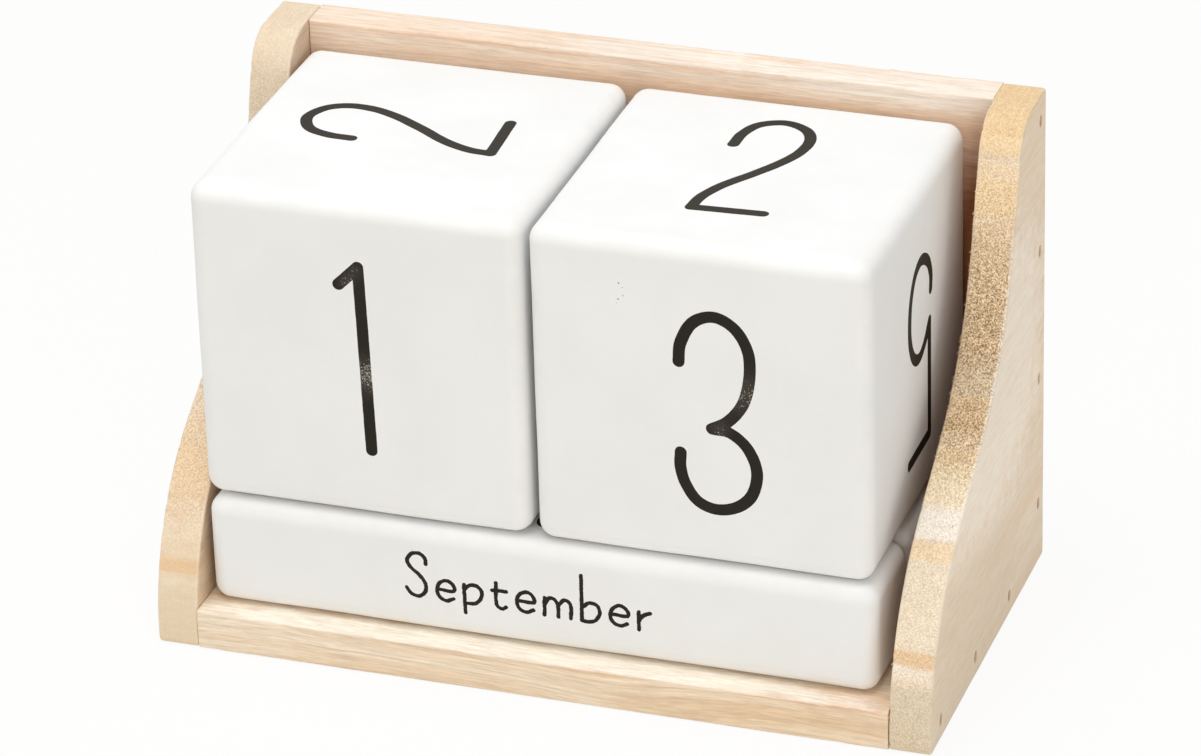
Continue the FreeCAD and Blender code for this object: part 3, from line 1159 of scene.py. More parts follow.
@dataclass
class Plank:
    """A plain board between the sides, with the arrises along its length sanded by hand."""

    node: str
    wood: BareWood
    arris_radius: float = 0.5
    arris_steps: int = 4
    left_gap: float = 0.15  # the hairline that shows where its end meets the side
    right_gap: float = 0.1
    nicks: int = 5
    nick_depth: float = 0.25
    pitch: float = 1.5
    seed: int = 1

    def arris(
        self, shape: Shape, corner: Vector, ways: tuple[Vector, Vector], places: list[float], seed: int
    ) -> list[list[Vertex]]:
        """Makes one rounded arris.

        Args:
            shape: the board.
            corner: the sharp corner that it rounds, at the board's left end.
            ways: the outward ways of the face that it starts on and the face that it ends on.
            places: the stations along the board.
            seed: sets how its radius sways.

        Returns:
            One row of points for each station.
        """
        nicks = scatter_nicks(seed, places[-1], self.nicks, self.nick_depth)
        made = []
        for along in places:
            sway = 1 + 0.35 * noise.noise(Vector((along * 0.09, seed * 2.3, 0)))
            radius = self.arris_radius * sway + sum(nick.at(along) for nick in nicks)
            row = []
            for index in range(self.arris_steps + 1):
                angle = math.pi / 2 * index / self.arris_steps
                inset = ways[0] * (math.cos(angle) - 1) + ways[1] * (math.sin(angle) - 1)
                spot = corner + RIGHTWARD * along + inset * radius
                row.append(shape.point(spot, arris=math.sin(2 * angle) ** 0.5 if index else 0.0))
            made.append(row)
        return made

    def end_channels(self, shape: Shape, brads: BradRows, board: str) -> dict[str, list[list]]:
        """Makes the channels of the brads that come in through both sides.

        Args:
            shape: the board's mesh.
            brads: the stand's brads.
            board: which rows they are: back or base.

        Returns:
            Their mouths, by the end that they are in: left and right.
        """
        side_depth = box_mm(self.node)[0].x - box_mm("left_side_panel")[0].x
        gaps = {"left": self.left_gap, "right": self.right_gap}
        return {
            end: [hole.receive(shape, side_depth + gap) for hole in brads.holes(end + "_" + board)]
            for end, gap in gaps.items()
        }

    def build(self, effects: Effects, holes: dict[str, list[list]], shape: Shape) -> Piece:
        """Makes the board.

        Args:
            effects: the shared shader effects.
            holes: loops of the holes in its faces, by face: left, right, front, rear.
            shape: the mesh that the holes are already in.

        Returns:
            The piece.
        """
        low, high = box_mm(self.node)
        length = high.x - low.x - self.left_gap - self.right_gap
        places = [self.left_gap + place for place in stations(length, self.pitch)]
        corners = [
            (Vector((low.x, low.y, high.z)), (FORWARD, UPWARD)),
            (Vector((low.x, high.y, high.z)), (UPWARD, REARWARD)),
            (Vector((low.x, high.y, low.z)), (REARWARD, DOWNWARD)),
            (Vector((low.x, low.y, low.z)), (DOWNWARD, FORWARD)),
        ]
        strips = [
            self.arris(shape, corner, ways, places, self.seed * 10 + index)
            for index, (corner, ways) in enumerate(corners)
        ]
        for strip in strips:
            for first, second in zip(strip, strip[1:]):
                shape.bridge(first, second, closed=False)
        faces = (("top", UPWARD), ("rear", REARWARD), ("bottom", DOWNWARD), ("front", FORWARD))
        for index, (face, normal) in enumerate(faces):
            here, after = strips[index], strips[(index + 1) % len(strips)]
            loop = [row[-1] for row in here] + [row[0] for row in reversed(after)]
            shape.fill([loop] + holes.get(face, []), normal)
        for face, end, normal in (("left", 0, LEFTWARD), ("right", -1, RIGHTWARD)):
            loop = [vertex for strip in strips for vertex in strip[end]]
            shape.fill([loop] + holes.get(face, []), normal)
        material = self.wood.material(effects)
        return shape.finish(self.node.replace("panel", "board"), "stand", "bare_wood", material, self.node)


TAN = srgb(232, 198, 156)
ORANGE = srgb(247, 217, 172)
BROWN = srgb(216, 183, 141)
YELLOW = srgb(239, 210, 166)
CHALK = srgb(252, 243, 231)
BEIGE = srgb(230, 213, 184)
# painted shade for the inner faces beside the blocks
SEAT_SHADE_BROWN = srgb(148, 84, 42)
BLEACHED = srgb(249, 243, 234)

# The rings of the sides and of the back lie flat, so each band is given by its height over the table
RIGHT_BANDS = (
    Band(-5.0, 11.0, srgb(222, 206, 180), 0.85, high_blur=2.0),
    Band(13.6, 15.0, CHALK, 0.2, low_blur=1.2, high_blur=0.4),
    Band(15.9, 17.6, TAN, 0.85, low_blur=0.7, high_blur=0.5),
    Band(19.0, 30.5, srgb(240, 226, 201), 0.65, low_blur=1.5, high_blur=0.6),
    Band(30.9, 32.5, ORANGE, 0.62, low_blur=0.7, high_blur=0.7),
    Band(33.4, 38.5, CHALK, 0.95, low_blur=0.5, high_blur=2.5),
    Band(37.2, 42.0, srgb(246, 220, 172), 0.55, low_blur=1.6, high_blur=1.0),
    Band(42.0, 45.0, TAN, 0.35, low_blur=1.5, high_blur=1.0),
    Band(45.2, 48.4, srgb(218, 186, 146), 0.75, low_blur=1.8, high_blur=0.3),
    Band(48.7, 54.0, srgb(206, 186, 156), 0.7, low_blur=0.3, high_blur=1.4),
    Band(54.8, 61.2, BROWN, 0.5, low_blur=1.2, high_blur=0.4),
    Band(61.3, 74.0, TAN, 0.5, low_blur=0.4, high_blur=4.0),
    Band(77.4, 82.0, ORANGE, 0.85, low_blur=3.0, high_blur=0.8),
    Band(82.8, 84.4, srgb(246, 220, 180), 0.7, low_blur=0.8, high_blur=1.0),
    Band(85.6, 86.4, TAN, 0.45, low_blur=0.5, high_blur=1.0),
    Band(87.0, 93.0, YELLOW, 0.9, low_blur=1.2),
    Band(89.6, 93.0, srgb(226, 196, 152), 0.8, low_blur=1.0),
)
LEFT_BANDS = (
    Band(-5.0, 9.5, BEIGE, 0.7, high_blur=3.0),
    Band(13.6, 15.2, TAN, 0.85, low_blur=0.2, high_blur=1.6),
    Band(25.4, 27.4, TAN, 0.3, low_blur=1.0, high_blur=0.3),
    Band(27.8, 31.0, srgb(235, 205, 168), 0.75, low_blur=0.6, high_blur=6.0),
    Band(56.0, 76.0, srgb(236, 220, 198), 0.4, low_blur=4.0, high_blur=6.0),
    Band(80.0, 93.0, srgb(226, 209, 184), 0.6, low_blur=8.0),
)
BACK_BANDS = (
    Band(84.0, 87.6, srgb(232, 190, 152), 0.6, low_blur=2.0, high_blur=0.8),
    Band(88.4, 89.2, srgb(240, 208, 176), 0.6, low_blur=0.6, high_blur=0.6),
    Band(90.6, 91.4, srgb(234, 184, 142), 0.55, low_blur=0.5, high_blur=0.3),
)


@dataclass
class Stand:
    """The open stand: two S-curved sides, a back and a base, held by brads."""

    effects: Effects
    brads: BradRows = field(default_factory=BradRows)

    def build(self) -> None:
        """Makes and dresses the four boards and the brads."""
        self.brads.dress(BradSteel().material(self.effects))
        seat_low, seat_high = (corner.x for corner in box_mm("base_panel"))
        outside = box_mm("right_side_panel")[1].x
        left = BareWood(
            "wood_left_side", Grain.ALONG_Y, shift=(31.0, 12.0, 0.0), ring_warp=1.6, bands=LEFT_BANDS,
            # Painted shade: the inner face beside the blocks is browned
            patches=(Patch((seat_low, 12.0, 34.0), (0.3, 60.0, 80.0), SEAT_SHADE_BROWN, 0.37, 0.5),),
            threads=0.35, pale=srgb(237, 219, 193), warm=srgb(232, 207, 177),
        )
        right = BareWood(
            "wood_right_side", Grain.ALONG_Y, shift=(-14.0, 7.0, 0.0), ring_warp=1.6, bands=RIGHT_BANDS,
            band_on_face=0.16, threads=0.15, pale=srgb(243, 228, 208), warm=srgb(239, 219, 194),
            patches=(
                # Painted shade: the inner face beside the units cube is browned, more deeply than on the left
                Patch((seat_high, 12.0, 34.0), (0.3, 60.0, 80.0), srgb(178, 114, 56), 0.62, 0.5),
                Patch((outside, 2.0, 50.0), (0.7, 44.0, 34.0), srgb(255, 244, 229), 0.75, 0.9),
                Patch((outside, -14.0, 12.0), (0.7, 40.0, 16.0), srgb(226, 208, 184), 0.5, 0.9),
            ),
        )
        left_torn = (
            (0, 0.03), (14, 0.04), (24, 0.08), (60, 0.2), (84, 0.17), (96, 0.12), (106, 0.05), (114, 0.02),
            (130, 0.02),
        )
        right_torn = (
            (0, 0.05), (18, 0.09), (24, 0.22), (30, 0.4), (38, 0.8), (46, 1.0), (53, 0.95), (58, 0.6),
            (61, 0.6), (65, 1.0), (69, 0.8), (74, 0.45), (79, 0.25), (84, 0.1), (130, 0.1),
        )
        SidePanel("left", left, left_torn, seed=3).build(self.effects, self.brads)
        SidePanel("right", right, right_torn, seed=8).build(self.effects, self.brads)
        self.build_base()
        self.build_back()

    def build_base(self) -> None:
        """Makes the base, with the channels of the brads that come into its ends and rear."""
        low, high = box_mm("base_panel")
        wood = BareWood(
            "wood_base", Grain.ALONG_X, shift=(5.0, -9.0, 6.0), ring_tilt=14.0, ring_pitch=1.7, ring_warp=7.0,
            ring_strength=0.5, threads=1.1, wisps=1.7, pale=srgb(247, 232, 211), warm=srgb(238, 213, 183),
            ring=srgb(224, 184, 144),
            patches=(
                Patch((high.x - 12.0, low.y + 1.0, high.z), (15.0, 4.0, 0.9), srgb(222, 172, 146), 0.5, 1.4),
                Patch((40.0, low.y, 2.0), (34.0, 0.8, 5.0), srgb(230, 200, 162), 0.45, 1.2),
                # Painted light: a near-white strip along the top in front of the bars, against the bars'
                # shade
                Patch((-6.0, low.y + 2.0, high.z), (80.0, 5.0, 0.7), srgb(255, 246, 230), 0.95, 0.8),
            ),
        )
        plank = Plank("base_panel", wood, seed=2)
        back_thickness = box_mm("back_panel")[1].y - high.y
        shape = Shape()
        holes = plank.end_channels(shape, self.brads, "base")
        holes["rear"] = [hole.receive(shape, back_thickness) for hole in self.brads.holes("rear_base")]
        plank.build(self.effects, holes, shape)

    def build_back(self) -> None:
        """Makes the back, with three brads driven through its foot into the base."""
        low, high = box_mm("back_panel")
        wood = BareWood(
            "wood_back", Grain.ALONG_X, shift=(44.0, 0.0, 0.0), ring_pitch=2.3, ring_warp=3.0,
            ring_strength=0.3, threads=1.1, wisps=1.5, bands=BACK_BANDS, pale=srgb(243, 227, 209),
            warm=srgb(237, 209, 184), ring=srgb(226, 184, 148),
            patches=(
                Patch((high.x - 8.0, low.y, high.z), (46.0, 12.0, 4.0), BLEACHED, 0.5, 1.3),
                Patch((2.0, low.y, high.z), (26.0, 9.0, 1.2), BLEACHED, 0.45, 1.3),
                # Painted shade: a dark brown strip down the right end of the front, in the gap beside the
                # units cube
                Patch((high.x - 2.5, low.y, 46.0), (6.0, 0.3, 46.0), srgb(146, 78, 34), 1.0, 0.25),
                # Painted shade: a milder warm brown over most of the front, fading out towards its top and
                # ends
                Patch((0.0, low.y, 30.0), (140.0, 0.3, 64.0), srgb(206, 158, 116), 0.4, 0.3),
            ),
        )
        plank = Plank("back_panel", wood, right_gap=0.04, seed=5)
        shape = Shape()
        holes = plank.end_channels(shape, self.brads, "back")
        through = [hole.enter(shape, high.y - low.y) for hole in self.brads.holes("rear_base")]
        holes["rear"] = [entry for entry, _ in through]
        holes["front"] = [exit_loop for _, exit_loop in through]
        plank.build(self.effects, holes, shape)


# ---------------------------------------------------------------------------------------------
# Lettering
# ---------------------------------------------------------------------------------------------

# Numerals are drawn round the middle of a face, about 36 mm tall. A stroke whose first and last
# points agree is a closed one.
NUMERALS: dict[str, tuple[Stroke, ...]] = {
    "0": (
        ((0, 17.8), (-4.6, 14.2), (-6.6, 5.2), (-6.6, -5.2), (-4.6, -14.2), (0, -17.8), (4.6, -14.2),
         (6.6, -5.2), (6.6, 5.2), (4.6, 14.2), (0, 17.8)),
    ),
    "1": (((-3.7, 13.8), (0, 17.5)), ((0, 17.5), (0.9, -17.5))),
    "2": (
        ((-6.4, 7.4), (-6.1, 12), (-4.3, 16), (-0.2, 17.8), (3.9, 16), (5.8, 12.5), (5.7, 8), (4, 3.2),
         (0.6, -2.6), (-3.3, -8.5), (-5.4, -13.5), (-5.9, -17.8)),
        ((-5.9, -17.8), (6.5, -17.1)),
    ),
    "3": (
        ((-6.6, 9.1), (-6.2, 12.7), (-4, 16.7), (-0.3, 18.2), (3.3, 16.5), (5.5, 12.7), (5.8, 8.2),
         (4.7, 2.9), (2.1, -0.9), (-1, -2.9)),
        ((-1, -2.9), (2.3, -3.3), (5.3, -5.9), (6.8, -10.1), (5.9, -14.5), (3.3, -17.2), (-0.3, -18.2),
         (-3.7, -17.1), (-5.9, -13.9), (-6.7, -10.8), (-6.6, -8.1)),
    ),
    "4": (((2.2, 17.5), (-7, -8)), ((-7, -8), (7.2, -8.2)), ((3.4, 4), (3.3, -17.5))),
    "5": (
        ((6.5, 17.8), (-5.8, 17.6)),
        ((-5.8, 17.6), (-6, -4)),
        ((-6, -4), (-3.3, -1.3), (0.3, 0.1), (3.8, -1.6), (6, -6.1), (5.6, -12.1), (3, -16.4),
         (-1, -17.8), (-5, -15.9), (-6.9, -12.6), (-6.8, -9.8)),
    ),
    "6": (
        ((5, 17), (1, 14.5), (-3.6, 8.5), (-6.3, 0.5), (-6.7, -7.5), (-4.7, -14.6), (0, -17.7),
         (4.6, -15.4), (6.6, -9.6), (5.2, -3.6), (1, -0.6), (-3.6, -2.6), (-6.5, -7)),
    ),
    "7": (((-6.6, 17.2), (6.6, 17.5)), ((6.6, 17.5), (3.2, 8), (0.2, -3), (-1.8, -17.5))),
    "8": (
        ((0, 0.6), (4.6, 4.6), (5.7, 10.2), (3.6, 15.7), (0, 17.7), (-3.6, 15.7), (-5.7, 10.2),
         (-4.6, 4.6), (0, 0.6), (5.2, -4), (6.8, -9.8), (4.6, -15.6), (0, -17.8), (-4.6, -15.6),
         (-6.8, -9.8), (-5.2, -4), (0, 0.6)),
    ),
}

# Letters stand on the line y = 0, with small letters about 4 mm tall and capitals about 9 mm.
LETTERS: dict[str, tuple[Stroke, ...]] = {
    "A": (((0, 0.1), (2.8, 8.9)), ((2.8, 8.9), (5.6, 0.1)), ((1, 3.2), (4.6, 3.2))),
    "D": (((0.1, 8.8), (0, 0.1)), ((0.1, 8.8), (3.2, 8.2), (5, 5.6), (4.8, 2.6), (2.8, 0.5), (0, 0.1))),
    "F": (((0.1, 8.8), (0, 0.1)), ((0.1, 8.8), (4.2, 8.7)), ((0.1, 4.8), (3.5, 4.8))),
    "J": (((3.2, 8.9), (3.3, 2.4), (2.5, 0.4), (1.1, 0.1), (0, 1.4)),),
    "M": (((0, 0.1), (0.6, 8.9)), ((0.6, 8.9), (3.3, 3)), ((3.3, 3), (6, 8.9)), ((6, 8.9), (6.6, 0.1))),
    "N": (((0, 0.1), (0.1, 8.9)), ((0.1, 8.9), (5, 0.1)), ((5, 0.1), (5.1, 8.9))),
    "O": (
        ((2.8, 8.9), (0.8, 7.4), (0, 4.5), (0.8, 1.6), (2.8, 0.1), (4.8, 1.6), (5.6, 4.5), (4.8, 7.4),
         (2.8, 8.9)),
    ),
    "S": (
        ((3.9, 6.8), (3.8, 7.9), (2.7, 8.8), (1.2, 8.4), (0.5, 7.1), (1, 5.9), (2.4, 4.7), (3.6, 3.2),
         (3.7, 1.5), (2.6, 0.3), (1.1, 0.5), (0.2, 1.7)),
    ),
    "a": (
        ((3, 3.3), (1.7, 4.1), (0.4, 3.3), (0, 1.9), (0.5, 0.5), (1.7, 0.1), (2.9, 1.4)),
        ((3, 3.8), (3, 0.8), (3.5, 0.1)),
    ),
    "b": (
        ((0.1, 8.9), (0, 0.1)),
        ((0.1, 2.7), (1.3, 3.7), (2.7, 3.5), (3.3, 2.1), (2.5, 0.5), (1.1, 0), (0, 0.1)),
    ),
    "c": (((3, 3.3), (1.7, 4.1), (0.4, 3.3), (0, 1.9), (0.5, 0.6), (1.7, 0.1), (3, 0.8)),),
    "e": (
        ((0.3, 2.2), (3.1, 2.2), (2.9, 3.5), (1.7, 4.1), (0.4, 3.3), (0, 1.9), (0.4, 0.7), (1.7, 0.1),
         (3, 0.7)),
    ),
    "g": (
        ((3, 3.3), (1.7, 4.1), (0.4, 3.3), (0, 1.9), (0.5, 0.5), (1.7, 0.1), (2.9, 1.4)),
        ((3, 3.8), (3, -0.9), (2.2, -2.3), (0.9, -2.5), (0, -1.8)),
    ),
    "h": (((0.1, 8.9), (0, 0.1)), ((0.1, 2.5), (1.1, 3.8), (2.2, 3.7), (2.9, 2.6), (2.9, 0.1))),
    "i": (((0.1, 3.9), (0.1, 0.1)), ((0.1, 5.7), (0.15, 5.8))),
    "l": (((0.1, 8.9), (0.1, 0.1)),),
    "m": (
        ((0.1, 3.5), (0, 0.1)),
        ((0.1, 2.2), (0.9, 3.5), (1.8, 3.5), (2.5, 2.4), (2.5, 0.1)),
        ((2.6, 2.3), (3.5, 3.5), (4.3, 3.5), (4.9, 2.4), (4.8, 0.1)),
    ),
    "n": (((0.1, 3.8), (0, 0.1)), ((0.1, 2.4), (1, 3.8), (2.1, 3.7), (2.8, 2.6), (2.8, 0.1))),
    "o": (
        ((1.7, 4.1), (0.4, 3.3), (0, 2), (0.4, 0.7), (1.7, 0), (3, 0.7), (3.4, 2), (3, 3.3), (1.7, 4.1)),
    ),
    "p": (
        ((0, 3.8), (0.1, -1.7)),
        ((0.1, 3), (1, 3.8), (2.3, 3.9), (3.2, 2.9), (3, 1.4), (1.9, 0.3), (0.6, 0.2)),
    ),
    "r": (((0.1, 3.4), (0.1, -0.1)), ((0.2, 1.7), (1, 2.8), (2.2, 3.4))),
    "s": (((2.6, 3.3), (1.5, 4.1), (0.4, 3.3), (0.8, 2.4), (2.1, 1.7), (2.6, 0.8), (1.4, 0), (0, 0.7)),),
    "t": (((0.8, 5.1), (0.7, 1.4), (1.1, 0.3), (1.9, 0.1), (2.5, 0.5)), ((0, 3.5), (2.6, 3.6))),
    "u": (((0.1, 3.9), (0.1, 1.3), (0.8, 0.2), (2, 0.2), (2.9, 1.4)), ((3, 3.9), (3, 0.1))),
    "v": (((0, 3.9), (1.6, 0.1)), ((1.6, 0.1), (3.2, 3.9))),
    "y": (((0, 3.9), (1.7, 0.3)), ((3.3, 3.9), (1.6, -0.2), (0.6, -2), (-0.4, -2.5))),
}


def flow(stroke: Stroke, pitch: float) -> np.ndarray:
    """Draws a smooth line through a stroke's points.

    Args:
        stroke: the points that the line passes through.
        pitch: about how far apart the points of the line are.

    Returns:
        The line's points, one to a row.
    """
    points = [np.array(point, float) for point in stroke]
    if len(points) == 2:
        return np.array(points)
    closed = stroke[0] == stroke[-1]
    before = points[-2] if closed else 2 * points[0] - points[1]
    after = points[1] if closed else 2 * points[-1] - points[-2]
    held = [before, *points, after]
    line = []
    for index in range(1, len(held) - 2):
        a, b, c, d = held[index - 1 : index + 3]
        count = max(2, math.ceil(np.linalg.norm(c - b) / pitch))
        for t in np.arange(count) / count:
            square, cube = 2 * a - 5 * b + 4 * c - d, 3 * b - a - 3 * c + d
            line.append(0.5 * (2 * b + (c - a) * t + square * t**2 + cube * t**3))
    return np.array([*line, points[-1]])


Placing = Callable[[float, float, float], Vector]


@dataclass(frozen=True)
class Pen:
    """How a print is laid down."""

    width: float
    pitch: float  # of the grid that its outline is found on
    ragged: float  # how far its edge wanders
    film: float = 0.045  # how proud of the paint it stands
    soft: float = 0.22  # how wide the film's sloping rim is
    root: float = 0.012  # how far it goes into the paint


NUMERAL_PEN = Pen(width=2.12, pitch=0.2, ragged=0.05)
NAME_PEN = Pen(width=0.74, pitch=0.1, ragged=0.11, soft=0.14)


@dataclass(frozen=True)
class WearAndReflectionSpot:
    """A place where a print is thinner: a rubbed spot, and on the top faces a painted reflection of the sky
    over the whole print.
    """

    x: float
    y: float
    radius: float
    strength: float = 1.0


class Side(Enum):
    """A face of a block, by where it points as the block lies in the stand."""

    FRONT = (FORWARD, RIGHTWARD)
    RIGHT = (RIGHTWARD, REARWARD)
    REAR = (REARWARD, LEFTWARD)
    LEFT = (LEFTWARD, FORWARD)
    TOP = (UPWARD, RIGHTWARD)
    UNDERSIDE = (DOWNWARD, RIGHTWARD)

    @property
    def outward(self) -> Vector:
        """The way that the face points."""
        return self.value[0]

    @property
    def rightward(self) -> Vector:
        """The way that writing on the face runs."""
        return self.value[1]

    @property
    def upward(self) -> Vector:
        """The way that writing on the face stands."""
        return self.outward.cross(self.rightward)


@dataclass(frozen=True)
class Marking:
    """What is printed on one face of a block."""

    side: Side
    text: str
    turns: int = 0  # quarter turns to the left
    shift: Point = (0.0, 0.0)
    wear_and_reflection: tuple[WearAndReflectionSpot, ...] = ()
    specks: tuple[Triple, ...] = ()  # stray spots: x, y and radius


def ink_density(marking: Marking, x: float, y: float) -> float:
    """Gives how solid a marking's ink is at a place on the face."""
    density = 1.0
    for spot in marking.wear_and_reflection:
        away = math.hypot(x - spot.x, y - spot.y) / spot.radius
        density -= spot.strength * math.exp(-away * away)
    return max(0.0, density)


class InkPatch:
    """Lays one glyph down as a thin closed film, on a grid of small cells."""

    def __init__(self, shape: Shape, pen: Pen, place: Placing, marking: Marking) -> None:
        """Takes the mesh, the pen, and the function that puts a face's point on the block."""
        self.shape, self.pen, self.place, self.marking = shape, pen, place, marking

    def field(self, lines: list[np.ndarray], xs: np.ndarray, ys: np.ndarray, width: float) -> np.ndarray:
        """Gives how deep each grid point lies inside the ink, less than 0 outside."""
        grid = np.stack(np.meshgrid(xs, ys, indexing="ij"), axis=-1)
        nearest = np.full(grid.shape[:2], 1e9)
        for line in lines:
            for start, end in zip(line, line[1:]):
                run = end - start
                share = np.clip(((grid - start) @ run) / max(run @ run, 1e-12), 0, 1)
                away = np.linalg.norm(grid - start - share[..., None] * run, axis=-1)
                nearest = np.minimum(nearest, away)
        inside = width / 2 - nearest
        for i, j in zip(*np.nonzero(inside > -3 * self.pen.ragged)):
            spot = Vector((xs[i], ys[j], len(self.marking.text)))
            wander = 0.7 * noise.noise(spot * 1.1 / self.pen.width) + 0.6 * noise.noise(spot * 4.2)
            inside[i, j] += self.pen.ragged * wander
        return inside

    def lay(self, lines: list[np.ndarray], width: float) -> None:
        """Adds the film of one glyph, whose lines are given on the face."""
        pitch = self.pen.pitch
        every = np.concatenate(lines)
        low, high = every.min(0) - width, every.max(0) + width
        xs = np.arange(low[0], high[0] + pitch, pitch)
        ys = np.arange(low[1], high[1] + pitch, pitch)
        inside = self.field(lines, xs, ys, width)
        made: dict[tuple, tuple] = {}

        def corner(i: int, j: int) -> tuple:
            """Gives the upper and lower point at a grid point."""
            if (i, j) not in made:
                share = min(1.0, inside[i, j] / self.pen.soft)
                lift = self.pen.film * (1 - (1 - share) ** 2)
                made[i, j] = self.pair(xs[i], ys[j], lift)
            return made[i, j]

        def crossing(i: int, j: int, k: int, m: int) -> tuple:
            """Gives the upper and lower point where the ink's edge cuts a grid line."""
            key = (min((i, j), (k, m)), max((i, j), (k, m)))
            if key not in made:
                share = inside[i, j] / (inside[i, j] - inside[k, m])
                x = xs[i] + share * (xs[k] - xs[i])
                y = ys[j] + share * (ys[m] - ys[j])
                made[key] = self.pair(x, y, 0.0)
            return made[key]

        wet = inside > 0
        for i, j in zip(*np.nonzero(wet[:-1, :-1] | wet[1:, :-1] | wet[:-1, 1:] | wet[1:, 1:])):
            around = ((i, j), (i + 1, j), (i + 1, j + 1), (i, j + 1))
            upper, rim = [], []
            for here, after in zip(around, around[1:] + around[:1]):
                if wet[here]:
                    upper.append(corner(*here))
                if wet[here] != wet[after]:
                    upper.append(crossing(*here, *after))
                    rim.append((upper[-1], bool(wet[here])))
            self.shape.face([pair[0] for pair in upper])
            self.shape.face([pair[1] for pair in reversed(upper)])
            if rim and not rim[0][1]:
                rim = rim[1:] + rim[:1]
            for (leaving, _), (entering, _) in zip(rim[::2], rim[1::2]):
                self.shape.face((leaving[1], entering[1], entering[0], leaving[0]))

    def pair(self, x: float, y: float, lift: float) -> tuple:
        """Adds a point on the film and the one under it."""
        density = ink_density(self.marking, x, y)
        upper = self.shape.point(self.place(x, y, lift), ink=density)
        return upper, self.shape.point(self.place(x, y, -self.pen.root), ink=density)


LETTER_GAP = 1.9
LINE_DROP = 3.4  # how far a name's line lies below the middle of its face
STROKE_PITCH = 0.45


def lay_marking(shape: Shape, marking: Marking, place: Placing) -> None:
    """Prints a numeral or a name on a face.

    Args:
        shape: the mesh that the print goes in.
        marking: what is printed.
        place: puts a face's point, with its height over the paint, on the block.
    """
    is_name = marking.text.isalpha()
    pen, glyphs = (NAME_PEN, LETTERS) if is_name else (NUMERAL_PEN, NUMERALS)
    turned = np.array(Matrix.Rotation(math.pi / 2 * marking.turns, 2))
    patch = InkPatch(shape, pen, place, marking)
    widths = [max(x for stroke in glyphs[letter] for x, _ in stroke) for letter in marking.text]
    cursor = -(sum(widths) + LETTER_GAP * (len(widths) - 1)) / 2 if is_name else 0.0
    for letter, width in zip(marking.text, widths):
        offset = np.array((cursor, -LINE_DROP)) if is_name else np.zeros(2)
        drawn = [flow(stroke, STROKE_PITCH) for stroke in glyphs[letter]]
        lines = [(line + offset + marking.shift) @ turned.T for line in drawn]
        patch.lay(lines, pen.width)
        cursor += width + LETTER_GAP
    for x, y, radius in marking.specks:
        patch.lay([np.array(((x, y), (x + 0.02, y + radius)))], 2 * radius)


# ---------------------------------------------------------------------------------------------
# Blocks
# ---------------------------------------------------------------------------------------------


